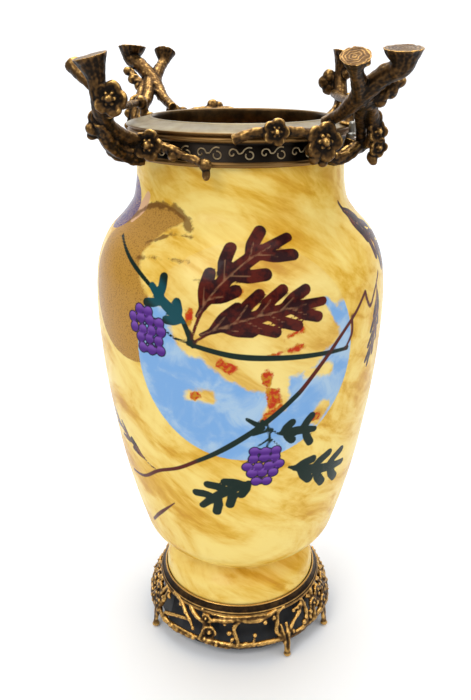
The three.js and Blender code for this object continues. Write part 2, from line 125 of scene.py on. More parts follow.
def place(radius, angle, height):
    a = radians(angle)
    return Vector((radius * sin(a), -radius * cos(a), height)) * MM


def smooth_path(points, spacing, axes):
    """Even steps along a smooth curve through the points, whose first columns are the axes."""
    knots = np.array(points, dtype=float)
    steps = np.linalg.norm(np.diff(knots[:, :axes], axis=0), axis=1)
    slopes = np.diff(knots, axis=0) / steps[:, None]
    before, after = steps[:-1, None], steps[1:, None]
    inner = (slopes[:-1] * after + slopes[1:] * before) / (before + after)
    tangents = np.vstack([slopes[:1], inner, slopes[-1:]])
    starts = np.concatenate([[0], np.cumsum(steps)])
    at = np.linspace(0, starts[-1], max(2, round(starts[-1] / spacing) + 1))
    i = np.clip(np.searchsorted(starts, at, side="right") - 1, 0, len(steps) - 1)
    reach = steps[i][:, None]
    s = (at - starts[i])[:, None] / reach
    return (
        (2 * s**3 - 3 * s**2 + 1) * knots[i]
        + (s**3 - 2 * s**2 + s) * reach * tangents[i]
        + (3 * s**2 - 2 * s**3) * knots[i + 1]
        + (s**3 - s**2) * reach * tangents[i + 1]
    )


# Shader helpers


class Finish:
    """A material with the few nodes that these finishes use."""

    def __init__(self, name, **settings):
        self.material = bpy.data.materials.new(name)
        self.material.use_nodes = True
        self.tree = self.material.node_tree
        self.shader = self.tree.nodes["Principled BSDF"]
        for socket, value in settings.items():
            self.shader.inputs[socket.replace("_", " ")].default_value = value
        self.spot = self.tree.nodes.new("ShaderNodeTexCoord").outputs["Object"]

    def link(self, value, socket):
        if isinstance(value, bpy.types.NodeSocket):
            self.tree.links.new(value, socket)
        else:
            socket.default_value = value

    def field(self, name):
        node = self.tree.nodes.new("ShaderNodeAttribute")
        node.attribute_name = name
        return node.outputs["Fac"]

    def math(self, operation, *values):
        node = self.tree.nodes.new("ShaderNodeMath")
        node.operation = operation
        for value, socket in zip(values, node.inputs):
            self.link(value, socket)
        return node.outputs[0]

    def spread(self, value, low, high, start=0.0, end=1.0):
        """Maps low..high to start..end, clamped and softened at both ends."""
        node = self.tree.nodes.new("ShaderNodeMapRange")
        node.interpolation_type = "SMOOTHSTEP"
        for number, socket in zip((value, low, high, start, end), node.inputs):
            self.link(number, socket)
        return node.outputs[0]

    def mottle(self, size, detail=4, rough=0.55, stretch=(1, 1, 1), turn=(0, 0, 0), swirl=0.0):
        """Noise with features of about this size in millimetres."""
        mapping = self.tree.nodes.new("ShaderNodeMapping")
        mapping.vector_type = "TEXTURE"
        self.link(self.spot, mapping.inputs["Vector"])
        mapping.inputs["Rotation"].default_value = [radians(a) for a in turn]
        mapping.inputs["Scale"].default_value = [size * MM * s for s in stretch]
        node = self.tree.nodes.new("ShaderNodeTexNoise")
        self.link(mapping.outputs[0], node.inputs["Vector"])
        node.inputs["Scale"].default_value = 1
        node.inputs["Detail"].default_value = detail
        node.inputs["Roughness"].default_value = rough
        node.inputs["Distortion"].default_value = swirl
        return node.outputs["Fac"]

    def mix(self, share, low, high):
        node = self.tree.nodes.new("ShaderNodeMix")
        node.data_type = "RGBA"
        self.link(share, node.inputs["Factor"])
        self.link(low, node.inputs["A"])
        self.link(high, node.inputs["B"])
        return node.outputs["Result"]

    def bump(self, height, depth):
        node = self.tree.nodes.new("ShaderNodeBump")
        node.inputs["Strength"].default_value = 1
        node.inputs["Distance"].default_value = depth * MM
        self.link(height, node.inputs["Height"])
        self.link(node.outputs[0], self.shader.inputs["Normal"])


def tint(red, green, blue):
    """A colour given as it looks on a screen, 0 to 255."""
    shown = (red, green, blue)
    linear = [((value / 255 + 0.055) / 1.055) ** 2.4 if value > 10 else value / 3295 for value in shown]
    return (*linear, 1)


# Finishes

IVORY = tint(248, 220, 128)
HONEY = tint(230, 182, 62)
OCHRE = tint(194, 132, 22)
GOLD_LEAF = tint(186, 138, 58)
GOLD_STIPPLE = tint(108, 68, 26)
SKY = tint(124, 170, 220)
MIST = tint(170, 198, 222)
EMBER = tint(190, 52, 16)
BARK_BROWN = tint(86, 26, 16)
DARK_BROWN = tint(42, 12, 14)
LEAF_GREEN = tint(18, 38, 30)
TEAL = tint(22, 74, 82)
VEIN = tint(190, 140, 100)
PLUM = tint(78, 32, 124)
LILAC = tint(126, 78, 172)
INK = tint(26, 12, 46)
VIOLET = tint(88, 70, 112)
PEACH = tint(222, 176, 132)


def painted_glass():
    """Streaked honey and ivory opaline with painted discs, leaves, stems and berries under gloss."""
    f = Finish(
        "painted_opaline", Roughness=0.26, Specular_IOR_Level=0.1, Coat_Weight=0.08, Coat_Roughness=0.05,
    )
    wash = f.mottle(46, 5, 0.6, stretch=(2.2, 1, 0.8), turn=(0, 28, 0), swirl=1.1)
    strokes = f.mottle(12, 5, 0.62, stretch=(3.4, 1.2, 0.6), turn=(0, 32, 0), swirl=0.7)
    ground = f.mix(f.spread(f.math("ADD", wash, f.math("MULTIPLY", strokes, 0.35)), 0.5, 0.82), IVORY, HONEY)
    streaks = f.math("ADD", wash, f.math("MULTIPLY", strokes, 0.5))
    ground = f.mix(f.spread(streaks, 0.74, 1.02, 0, 0.8), ground, OCHRE)
    ragged = f.math("MULTIPLY", f.math("SUBTRACT", f.mottle(7, 4, 0.6), 0.5), 9)
    fine = f.math("MULTIPLY", f.math("SUBTRACT", f.mottle(2.2, 3, 0.6), 0.5), 1.1)

    def over(colour, name, paint, jitter=None, soft=0.35, most=1.0):
        edge = f.field(name)
        if jitter is not None:
            edge = f.math("ADD", edge, jitter)
        return f.mix(f.spread(edge, -soft, soft, 0, most), colour, paint)

    stipple = f.spread(f.mottle(0.9, 2, 0.7), 0.52, 0.62)
    gold = f.mix(f.math("MULTIPLY", stipple, 0.55), GOLD_LEAF, GOLD_STIPPLE)
    lilac_dust = f.mix(f.math("MULTIPLY", stipple, 0.6), VIOLET, PEACH)
    sky = f.mix(f.spread(f.mottle(20, 4, 0.6, swirl=0.6), 0.4, 0.68), SKY, MIST)
    embers = f.mix(f.spread(f.mottle(3, 3, 0.6), 0.42, 0.6), EMBER, OCHRE)
    brown = f.mix(f.spread(f.mottle(9, 3, 0.6), 0.4, 0.62), DARK_BROWN, BARK_BROWN)
    green = f.mix(f.field("teal"), LEAF_GREEN, TEAL)
    stem = f.mix(f.field("stem_brown"), LEAF_GREEN, BARK_BROWN)

    colour = over(ground, "gold_disc", gold, fine)
    colour = over(colour, "peach_patch", PEACH, fine)
    colour = over(colour, "violet_patch", lilac_dust, fine)
    colour = over(colour, "blue_disc", sky, fine)
    colour = over(colour, "cloud", ground, ragged, soft=1.6, most=0.96)
    colour = over(colour, "ember", embers, ragged, soft=0.8)
    colour = over(colour, "scratch", GOLD_STIPPLE, ragged, soft=0.9, most=0.8)
    colour = over(colour, "stem", stem, None)
    colour = over(colour, "brown_leaf", brown, None)
    colour = over(colour, "green_leaf", green, None)
    colour = f.mix(f.spread(f.field("vein"), -0.7, 0.5, 0, 0.55), colour, VEIN)
    berry = f.mix(f.spread(f.field("berry_light"), -0.4, 0.8), PLUM, LILAC)
    berry = f.mix(f.spread(f.field("berry"), 0.35, 1.1), INK, berry)
    colour = over(colour, "berry", berry, None)
    f.link(colour, f.shader.inputs["Base Color"])
    return f.material


BRONZE_DARK = tint(30, 23, 17)
BRONZE_MID = tint(98, 70, 38)
BRONZE_BRIGHT = tint(222, 174, 98)
PLATE_DARK = tint(30, 24, 18)
PLATE_GOLD = tint(124, 92, 50)
PLATE_PALE = tint(182, 170, 138)
CUP_BLACK = tint(14, 17, 22)
CUP_GREY = tint(34, 36, 40)
STEEL_DARK = tint(110, 108, 100)
STEEL_PALE = tint(178, 176, 168)


def gilt_bronze():
    """Rubbed gilding over brown patina, with painted light: the wear and shading field is high on edges and
    tops, and low on flanks and in hollows.
    """
    f = Finish("gilt_bronze", Metallic=0.92)
    patches = f.math("MULTIPLY", f.math("SUBTRACT", f.mottle(6, 5, 0.65), 0.5), 0.6)
    wear_and_shading = f.math("ADD", f.field("wear_and_shading"), patches)
    # The field brings painted highlights, painted light on tops and painted shade on flanks into the colour,
    # as well as rubbed gilding and patina.
    colour = f.mix(f.spread(wear_and_shading, 0.12, 0.52), BRONZE_DARK, BRONZE_MID)
    colour = f.mix(f.spread(wear_and_shading, 0.5, 0.92), colour, BRONZE_BRIGHT)
    f.link(colour, f.shader.inputs["Base Color"])
    f.link(f.spread(wear_and_shading, 0.2, 0.9, 0.48, 0.27), f.shader.inputs["Roughness"])
    f.bump(f.mottle(0.8, 3, 0.6), 0.09)
    return f.material


def plate_bronze():
    """The collar's paler, greyer gilding, dark in its hollows."""
    f = Finish("plate_bronze", Metallic=0.9)
    patches = f.math("MULTIPLY", f.math("SUBTRACT", f.mottle(9, 5, 0.65), 0.5), 0.35)
    wear_and_shading = f.math("ADD", f.field("wear_and_shading"), patches)
    colour = f.mix(f.spread(wear_and_shading, 0.1, 0.5), PLATE_DARK, PLATE_GOLD)
    colour = f.mix(f.spread(wear_and_shading, 0.55, 0.95), colour, PLATE_PALE)
    f.link(colour, f.shader.inputs["Base Color"])
    f.link(f.spread(f.mottle(14, 4, 0.6), 0.3, 0.7, 0.28, 0.46), f.shader.inputs["Roughness"])
    return f.material


def dark_metal():
    """The inner cup, near black: blackened metal, with painted shade for the dark inside of the foot."""
    f = Finish("dark_metal", Metallic=0.3, Roughness=0.5)
    f.link(f.mix(f.mottle(8), CUP_BLACK, CUP_GREY), f.shader.inputs["Base Color"])
    return f.material


def bolt_steel():
    f = Finish("bolt_steel", Metallic=1.0, Roughness=0.34)
    f.link(f.mix(f.mottle(2), STEEL_DARK, STEEL_PALE), f.shader.inputs["Base Color"])
    return f.material


def floor_white():
    f = Finish("floor_white", Roughness=0.8)
    f.shader.inputs["Base Color"].default_value = FLOOR_WHITE
    return f.material


# Making pieces


def piece(name, bm, material):
    """An object from a bmesh, which is used up."""
    bmesh.ops.recalc_face_normals(bm, faces=bm.faces)
    mesh = bpy.data.meshes.new(name)
    bm.to_mesh(mesh)
    bm.free()
    return settled(name, mesh, material)


def settled(name, mesh, material):
    """An object of this name and finish from a mesh."""
    mesh.name = name
    mesh.materials.clear()
    mesh.materials.append(material)
    mesh.shade_smooth()
    thing = bpy.data.objects.new(name, mesh)
    bpy.context.scene.collection.objects.link(thing)
    return thing


def turned(bm, profile, sides):
    """Spins a profile of [radius, height] round the axis. It starts and ends on the axis, or closes."""
    start = len(bm.verts)
    spots = [bm.verts.new((0, -radius * MM, height * MM)) for radius, height in profile]
    edges = [bm.edges.new(pair) for pair in zip(spots, spots[1:])]
    if profile[0][0] > 0:
        edges.append(bm.edges.new((spots[-1], spots[0])))
    bmesh.ops.spin(bm, geom=spots + edges, axis=(0, 0, 1), angle=2 * pi, steps=sides, use_merge=True)
    bm.verts.ensure_lookup_table()
    bmesh.ops.remove_doubles(bm, verts=bm.verts[start:], dist=1e-6)


def numbers(mesh, name, values):
    """A number for each vertex, which a finish reads by this name."""
    attribute = mesh.attributes.new(name, "FLOAT", "POINT")
    attribute.data.foreach_set("value", np.asarray(values, dtype=np.float32))


def corners(mesh):
    co = np.empty(len(mesh.vertices) * 3)
    mesh.vertices.foreach_get("co", co)
    return co.reshape(-1, 3)


def normals(mesh):
    no = np.empty(len(mesh.vertices) * 3)
    mesh.vertex_normals.foreach_get("vector", no)
    return no.reshape(-1, 3)


def softened(points, edges, rounds):
    """Points moved to the mean of their neighbours, again and again."""
    ends = np.concatenate([edges[:, 0], edges[:, 1]])
    others = np.concatenate([edges[:, 1], edges[:, 0]])
    count = np.maximum(np.bincount(ends, minlength=len(points)), 1)
    for _ in range(rounds):
        points = np.stack([np.bincount(ends, points[others, k], len(points)) / count for k in range(3)], 1)
    return points


FLANK_WEAR_AND_SHADE = 0.27  # what a flat upright side starts with, kept low as painted shade on the flanks
EDGE_RUB_AND_HIGHLIGHT = 1.5  # more for each millimetre that an edge stands proud: rubbed gilding and a painted highlight
RIDGE_RUB_AND_HIGHLIGHT = 0.44  # the same for broad ridges: rubbed gilding and a painted highlight
TOP_PAINTED_LIGHT = 0.3  # more for metal that looks up, as painted light from above


def add_wear_and_shading(mesh, near=3, wide=22):
    """The wear and shading field: low on flanks as painted shade and in hollows as patina, high on what
    stands proud as rubbed gilding with painted highlights, and high on what looks up as painted light.
    """
    edges = np.empty(len(mesh.edges) * 2, dtype=int)
    mesh.edges.foreach_get("vertices", edges)
    edges = edges.reshape(-1, 2)
    points = corners(mesh) / MM
    facing = normals(mesh)
    near_rise = np.einsum("ij,ij->i", facing, points - softened(points, edges, near))
    wide_rise = np.einsum("ij,ij->i", facing, points - softened(points, edges, wide))
    rise = np.clip(near_rise, -0.12, 1) * EDGE_RUB_AND_HIGHLIGHT + np.clip(wide_rise, -0.25, 2) * RIDGE_RUB_AND_HIGHLIGHT
    # Painted light: metal that looks up is made lighter, and upright flanks start low as painted shade.
    upward = np.clip(facing[:, 2], -0.4, 1) * TOP_PAINTED_LIGHT
    numbers(mesh, "wear_and_shading", np.clip(FLANK_WEAR_AND_SHADE + rise + upward, 0.06, 1))


# Painted glass

LOWER_BODY = (
    (0, 0), (0.022, 0.094), (0.045, 0.2), (0.083, 0.377), (0.118, 0.472), (0.179, 0.547),
    (0.306, 0.675), (0.432, 0.779), (0.559, 0.857), (0.686, 0.925), (0.85, 0.982), (1, 1),
)
SHOULDER = (
    (0.184, 0.024), (0.342, 0.075), (0.474, 0.178), (0.605, 0.353), (0.763, 0.726), (0.88, 0.93), (1, 1),
)
GLASS_FOOT = ((0, 0.94), (0.06, 0.982), (0.17, 1), (0.36, 0.994), (0.6, 0.972), (0.8, 0.886))


def glass_outline():
    rise = GLASS_WAIST_HEIGHT - GLASS_UNDERSIDE
    foot = [(GLASS_FOOT_RADIUS * share, GLASS_UNDERSIDE + up * rise) for up, share in GLASS_FOOT]
    body = [
        (lerp(GLASS_WAIST_RADIUS, BELLY_RADIUS, out), lerp(GLASS_WAIST_HEIGHT, BELLY_HEIGHT, up))
        for up, out in LOWER_BODY
    ]
    shoulder = [
        (lerp(BELLY_RADIUS, NECK_RADIUS, out), lerp(BELLY_HEIGHT, NECK_HEIGHT, up)) for up, out in SHOULDER
    ]
    foot_part = smooth_path([*foot, body[0]], GLASS_STEP, 2)
    body_part = smooth_path([*body, *shoulder, (NECK_RADIUS, MOUTH_HEIGHT)], GLASS_STEP, 2)
    outline = np.vstack([foot_part, body_part[1:]])
    outline[:, 0] = np.minimum(outline[:, 0], BELLY_RADIUS)
    return outline


OUTLINE = glass_outline()
CLIMB = np.concatenate([[0], np.cumsum(np.linalg.norm(np.diff(OUTLINE, axis=0), axis=1))])


STROKE_MARGIN = 9  # how far round a stroke its field is worked out
FAR_OUTSIDE = -99.0


def girth(height):
    return np.interp(height, OUTLINE[:, 1], OUTLINE[:, 0])


def on_glass(angle, height):
    """A painted place in space, from its angle and height."""
    a = radians(angle)
    radius = girth(height)
    return np.array([radius * sin(a), -radius * cos(a), height])


def moved(spot, around, up):
    """The place so many millimetres round and up the surface from another."""
    angle, height = spot
    climbed = np.interp(np.interp(height, OUTLINE[:, 1], CLIMB) + up, CLIMB, OUTLINE[:, 1])
    return angle + np.degrees(around / girth(climbed)), climbed


def stroke_field(points, spots, widths):
    """How far each point is inside a painted stroke, whose half widths are spread along its length."""
    knots = [on_glass(*spot) for spot in spots]
    path = smooth_path(knots, 2.5, 3)
    half = np.interp(np.linspace(0, 1, len(path)), np.linspace(0, 1, len(widths)), widths)
    middle = path.mean(axis=0)
    reach = np.linalg.norm(path - middle, axis=1).max() + half.max() + STROKE_MARGIN
    close = np.linalg.norm(points - middle, axis=1) < reach
    near = points[close]
    best = np.full(len(near), FAR_OUTSIDE)
    for i in range(len(path) - 1):
        run = path[i + 1] - path[i]
        share = np.clip((near - path[i]) @ run / max(run @ run, 1e-9), 0, 1)
        gap = np.linalg.norm(near - path[i] - share[:, None] * run, axis=1)
        best = np.maximum(best, half[i] + (half[i + 1] - half[i]) * share - gap)
    field = np.full(len(points), FAR_OUTSIDE)
    field[close] = best
    return field


LOBE_REACH = (0.6, 0.9, 0.86, 0.66, 0.5)  # of the leaf's width, from the base to the tip


def leaf_strokes(base, tip, bend, lobes, width):
    """A lobed leaf as strokes: the midrib, pairs of club-shaped lobes and one at the tip."""
    start, end = np.array(base, dtype=float), np.array(tip, dtype=float)
    middle_girth = girth((start[1] + end[1]) / 2)
    climbs = np.interp([start[1], end[1]], OUTLINE[:, 1], CLIMB)
    run = np.array([radians(end[0] - start[0]) * middle_girth, climbs[1] - climbs[0]])
    length = np.linalg.norm(run)
    along = run / length
    across = np.array([-along[1], along[0]])

    def spot(share, side):
        sideways = side + bend * 4 * share * (1 - share)
        return moved(base, *(along * share * length + across * sideways))

    midrib = [spot(share, 0) for share in (0, 0.3, 0.6, 0.85, 1)]
    outline = [(midrib, (0.08 * width, 0.26 * width, 0.3 * width, 0.26 * width, 0.2 * width))]
    veins = [midrib[:-1]]
    for i in range(lobes):
        share = lerp(0.14, 0.68, i / max(lobes - 1, 1))
        reach = width * LOBE_REACH[min(i, len(LOBE_REACH) - 1)]
        for side in (-1, 1):
            foot = share - 0.035 * side
            root, elbow = spot(foot, 0), spot(foot + 0.09, side * reach * 0.52)
            end_spot = spot(foot + 0.22, side * reach)
            outline.append(([root, elbow, end_spot], (0.18 * width, 0.26 * width, 0.25 * width)))
            veins.append([root, spot(foot + 0.12, side * reach * 0.66)])
    return outline, veins


# Leaves as (base, tip, bend, pairs of lobes, width), bases and tips as (angle, height)
BROWN_LEAVES = (
    ((-15.2, 277), (14.4, 318), 5, 3, 15),
    ((-14, 266), (29.4, 283), 4, 4, 13.5),
    ((60, 331), (88, 284), -3, 4, 13),
    ((63, 283), (58, 229), 3, 4, 7),
    ((-43.2, 163), (-74, 186), -2, 3, 6),
    ((150, 300), (122, 262), 4, 4, 17),
    ((-118, 330), (-142, 296), -3, 3, 15),
)
GREEN_LEAVES = (
    ((-19.5, 272), (-33, 291), 1, 2, 11),
    ((14.3, 200), (29.5, 198.5), 1, 2, 11),
    ((20, 173), (51, 160), -2, 3, 13),
    ((6, 165), (-16.5, 142), -3, 3, 12),
    ((9.4, 204), (2.2, 212), 0, 1, 6),
    ((176, 196), (152, 182), 2, 3, 13),
    ((-172, 206), (-158, 226), 1, 2, 11),
)
# Stems as (places, half widths, brown)
STEMS = (
    (((-18.5, 260), (-10, 256.6), (-3.8, 254.4), (13.5, 251.8), (30, 250.4), (42, 249.4)),
     (1.4, 1.9, 1.7, 1.3), 0),
    (((-16.6, 259), (-21.4, 276), (-34.3, 291), (-48, 303), (-60.5, 312)), (1.9, 1.2, 1.5, 1.1), 0),
    (((-17.5, 260.5), (-24, 262.5), (-28, 267)), (0.9, 0.8), 0),
    (((-17.2, 263), (-14.8, 275), (-10, 290), (2, 306)), (0.9, 1.1, 0.8), 1),
    (((-16.6, 261), (-8, 270), (6, 277)), (0.8, 1.0, 0.7), 1),
    (((-60.5, 146), (-51, 148.5), (-37.1, 162), (-26, 170), (-18, 178)), (1.2, 1.3, 1.4), 1),
    (((-18, 178), (-9, 187), (-0.3, 197), (12.6, 213.7), (22, 228)), (1.5, 2.0, 1.9, 1.7), 0),
    (((22, 228), (28, 240), (40.1, 262), (47, 272), (52.3, 281)), (1.6, 1.4, 1.1), 1),
    (((52.3, 281), (53.8, 275), (56.2, 270), (60, 277), (66, 288)), (1.3, 1.2, 1.0), 1),
    (((43.5, 270), (44, 258), (40.6, 249)), (1.0, 1.2, 0.8), 1),
    (((-43, 163), (-40, 161.5)), (0.8, 0.8), 1),
    (((10.2, 206), (10.8, 196), (10, 190)), (1.0, 0.8), 0),
    (((10.8, 197), (6.5, 192)), (0.7, 0.7), 0),
    (((10.8, 198), (15.5, 190)), (0.7, 0.7), 0),
    (((10.2, 205), (14.3, 200)), (0.9, 0.8), 0),
    (((12, 204), (5, 201)), (0.9, 1.2), 0),
    (((-55, 106), (-46, 118), (-40, 126), (-32, 137)), (1.2, 1.4, 0.5), 1),
    (((-76, 68), (-60, 66), (-44, 66.5), (-30, 67)), (1.1, 1.6, 0.4), 1),
    (((104, 268), (128, 246), (150, 222), (172, 204), (-164 + 360, 192)), (1.4, 1.8, 1.5), 0),
    (((128, 246), (140, 270), (152, 300)), (1.0, 1.2), 1),
    (((-100, 342), (-112, 334), (-122, 326)), (1.0, 1.2), 1),
)
# Bunches as (middle, berries in each row, lean of the rows)
BUNCHES = (
    ((-36.5, 264), (2, 4, 4, 3, 3), 0.35),
    ((9.6, 176.5), (3, 3, 4, 3, 2), -0.1),
    ((170, 178), (2, 3, 3, 2), 0.1),
)
BERRY_RADIUS = 3.8
BERRY_STEP = 1.8 * BERRY_RADIUS
BERRY_ROW_STEP = 1.55 * BERRY_RADIUS
# Discs and a round patch as (middle, radius)
BLUE_DISC = ((2.0, 250.4), 69)
GOLD_DISC = ((-44, 290), 50)
VIOLET_PATCH = ((-78, 326), 19)
# Patches of ground and of ember left on the blue disc, as (places, half widths)
CLOUDS = (
    (((-24, 303), (4, 314), (32, 300)), (26, 30, 22)),
    (((-13, 272), (8, 274), (28, 268)), (21, 26, 17)),
    (((-13, 262), (-2, 250), (24, 250)), (10, 13, 10)),
    (((-19, 226), (-12, 227)), (3.5, 5)),
    (((4, 240), (12, 236), (14, 222)), (8, 8, 6)),
    (((14, 226), (9, 210)), (5, 2)),
    (((29, 206), (33, 214)), (5, 4)),
    (((33, 240), (24, 240)), (4, 4)),
)
# Single strokes, as (places, half widths)
BLUE_CRESCENT = (((30.7, 284), (37, 272), (42, 258)), (1.5, 4, 3))
TEAL_LEAF = (((-20, 273), (-32, 289)), (9, 9))
VEIN_WIDTHS = (0.3, 0.2)
EMBERS = (
    (((-7, 249), (-3, 246)), (3.5, 3)),
    (((9, 241), (9.6, 236)), (3, 2.6)),
    (((11, 229), (12, 223)), (3.6, 4)),
    (((14, 219), (8, 211)), (2.4, 1)),
    (((21, 268), (15, 263)), (2, 1.2)),
    (((22, 258), (8, 253)), (1.6, 0.8)),
    (((-17, 226), (-16, 227)), (3, 3)),
    (((29, 206.5), (30, 207)), (2.4, 2.4)),
    (((-19, 272), (-18, 280)), (2.6, 2)),
    (((-6, 290), (0, 292)), (2.6, 2.6)),
)
SCRATCHES = (
    (((-66, 318), (-56, 328), (-44, 332), (-32, 330), (-23, 321)), (1.2, 1.6, 2.2, 1.6)),
    (((-42, 312), (-30, 318), (-22, 318)), (0.6, 0.9, 0.5)),
    (((-46, 303), (-32, 306), (-20, 306)), (0.3, 0.5, 0.3)),
    (((-14, 296), (-17, 298)), (0.6, 0.4)),
)
PEACH_PATCH = (((-62, 321), (-59, 328), (-56, 335)), (3, 5, 3))


def painting(mesh):
    """Every painted shape as a field on the glass: millimetres inside its edge, less than 0 outside."""
    points = corners(mesh) / MM
    radius = np.hypot(points[:, 0], points[:, 1])
    inner = (radius < girth(points[:, 2]) - GLASS_WALL / 2) | (points[:, 2] < GLASS_UNDERSIDE + 1)

    def paint(name, values):
        numbers(mesh, name, np.where(inner, FAR_OUTSIDE, np.clip(values, FAR_OUTSIDE, -FAR_OUTSIDE)))

    def union(strokes):
        return np.max([stroke_field(points, spots, widths) for spots, widths in strokes], axis=0)

    discs = (("blue_disc", BLUE_DISC), ("gold_disc", GOLD_DISC), ("violet_patch", VIOLET_PATCH))
    for name, (middle, size) in discs:
        paint(name, size - np.linalg.norm(points - on_glass(*middle), axis=1))
    crescent = stroke_field(points, *BLUE_CRESCENT)
    paint("cloud", np.minimum(union(CLOUDS), -1.6 * crescent))
    paint("ember", union(EMBERS))
    paint("scratch", union(SCRATCHES))
    paint("peach_patch", stroke_field(points, *PEACH_PATCH))
    for name, leaves in (("brown_leaf", BROWN_LEAVES), ("green_leaf", GREEN_LEAVES)):
        shapes = [leaf_strokes(*leaf) for leaf in leaves]
        paint(name, union([stroke for outline, _ in shapes for stroke in outline]))
        if name == "brown_leaf":
            paint("vein", union([(vein, VEIN_WIDTHS) for _, veins in shapes for vein in veins]))
    paint("stem", union([(spots, widths) for spots, widths, _ in STEMS]))
    browns = union([(spots, widths) for spots, widths, brown in STEMS if brown])
    greens = union([(spots, widths) for spots, widths, brown in STEMS if not brown])
    numbers(mesh, "stem_brown", np.clip(0.5 + (browns - greens) * 0.3, 0, 1))
    numbers(mesh, "teal", np.clip(stroke_field(points, *TEAL_LEAF) / 3, 0, 1))
    berry, light = np.full(len(points), FAR_OUTSIDE), np.zeros(len(points))
    for middle, rows, lean in BUNCHES:
        for row, count in enumerate(rows):
            for i in range(count):
                around = (i - (count - 1) / 2) * BERRY_STEP + lean * row * BERRY_RADIUS
                up = ((len(rows) - 1) / 2 - row) * BERRY_ROW_STEP + 0.6 * sin(5 * i + 3 * row)
                spot = on_glass(*moved(middle, around, up))
                inside = BERRY_RADIUS - np.linalg.norm(points - spot, axis=1)
                nearer = inside > berry
                berry = np.where(nearer, inside, berry)
                light = np.where(nearer, (points[:, 2] - spot[2]) / BERRY_RADIUS, light)
    paint("berry", berry)
    numbers(mesh, "berry_light", light)


def glass_vase():
    """The glass, hollow, with its wall turned in one profile and its painting as fields."""
    floor = GLASS_UNDERSIDE + GLASS_WALL
    thin = OUTLINE[::10]
    run = np.gradient(thin, axis=0)
    run /= np.linalg.norm(run, axis=1)[:, None]
    inside = thin + GLASS_WALL * np.stack([-run[:, 1], run[:, 0]], axis=1)
    keep = (inside[:, 1] > floor + 1) & (inside[:, 1] < MOUTH_HEIGHT - 4)
    profile = [
        (0, GLASS_UNDERSIDE),
        *OUTLINE,
        (NECK_RADIUS - GLASS_WALL, MOUTH_HEIGHT),
        *inside[keep][::-1],
        (OUTLINE[0][0] - GLASS_WALL, floor),
        (0, floor),
    ]
    bm = bmesh.new()
    turned(bm, profile, GLASS_SIDES)
    vase = piece("painted_vase", bm, painted_glass())
    painting(vase.data)
    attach(vase, "root")
    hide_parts("opaline_vase")


# Limbs, blossoms, buds and leaves of the castings


def rows_at(spot, rows):
    """Rows of a place and a thickness as rows of x, y, z and thickness in millimetres."""
    return [(*(spot(*row[:3]) / MM), row[3]) for row in rows]


def add_limbs(bm, limbs, lumpy=0.06, spacing=1.2, rounding=5):
    """Round limbs along smooth curves through rows of x, y, z and thickness."""
    curve = bpy.data.curves.new("limbs", "CURVE")
    curve.dimensions = "3D"
    curve.bevel_depth = 1
    curve.bevel_resolution = rounding
    curve.use_fill_caps = True
    for rows in limbs:
        path = smooth_path(rows, spacing, 3)
        spline = curve.splines.new("POLY")
        spline.points.add(len(path) - 1)
        for point, (x, y, z, thickness) in zip(spline.points, path):
            knot = 1 + lumpy * noise.noise(Vector((x, y, z)) * 0.35)
            point.co = (x * MM, y * MM, z * MM, 1)
            point.radius = thickness * knot * MM
    holder = bpy.data.objects.new("limbs", curve)
    mesh = bpy.data.meshes.new_from_object(holder)
    bm.from_mesh(mesh)
    bpy.data.objects.remove(holder)
    bpy.data.curves.remove(curve)
    bpy.data.meshes.remove(mesh)


def bark(rows, count=5, twist=1.5):
    """Ridges of bark: thin limbs that wind slowly round a thick one."""
    path = smooth_path(rows, 2.4, 3)
    run = np.gradient(path[:, :3], axis=0)
    run /= np.linalg.norm(run, axis=1)[:, None]
    side = np.cross(run, (0, 0, 1))
    side /= np.linalg.norm(side, axis=1)[:, None]
    up = np.cross(side, run)
    share = np.linspace(0, 1, len(path))
    ridges = []
    for k in range(count):
        a = 2 * pi * k / count + twist * share + 0.35 * np.sin(9 * share + 2 * k)
        offset = side * np.cos(a)[:, None] + up * np.sin(a)[:, None]
        thickness = path[:, 3] * (0.4 + 0.12 * np.sin(11 * share + 2.4 * k))
        ridges.append(np.column_stack([path[:, :3] + offset * path[:, 3:] * 0.74, thickness]))
    return ridges


def facing_out(spot, angle, lift):
    """Stands a shape that faces +Z so that it faces out from the axis, tipped upwards."""
    return (
        Matrix.Translation(spot)
        @ Matrix.Rotation(radians(angle), 4, "Z")
        @ Matrix.Rotation(radians(90 - lift), 4, "X")
    )


def add_copy(bm, shape, matrix):
    """Adds a copy of a mesh, moved by the matrix."""
    twin = shape.copy()
    twin.transform(matrix)
    bm.from_mesh(twin)
    bpy.data.meshes.remove(twin)


def shaped_ball(around, rows, shape):
    """A ball of radius one whose every point x, y, z goes through the shape, as a mesh."""
    bm = bmesh.new()
    bmesh.ops.create_uvsphere(bm, u_segments=around, v_segments=rows, radius=1)
    for vert in bm.verts:
        vert.co = Vector(shape(*vert.co))
    mesh = bpy.data.meshes.new("ball")
    bm.to_mesh(mesh)
    bm.free()
    return mesh


def petal_shape(x, y, z):
    """A petal one wide and one long, from the flower's middle out along X, with a soft cup."""
    cup = PETAL_CUP * max(0.0, 1 - 1.6 * (x * x + y * y)) if z > 0 else 0
    return 0.5 + 0.5 * x, 0.5 * y, z * 0.9 - cup + 0.25 * x


def leaf_shape(x, y, z):
    """A lens one wide and one long, with a groove along its midrib."""
    groove = 0.35 * max(0.0, 1 - abs(x) * 5) if z > 0 else 0
    return x / 2 * (1 - 0.25 * y), y / 2, (z - groove) / 2


BALL = shaped_ball(12, 8, lambda x, y, z: (x, y, z))
PETAL = shaped_ball(20, 12, petal_shape)
LEAF = shaped_ball(20, 10, leaf_shape)


def sized(*size):
    return Matrix.Diagonal((*[s * MM for s in size], 1))


def add_ball(bm, matrix, size):
    add_copy(bm, BALL, matrix @ sized(*size))


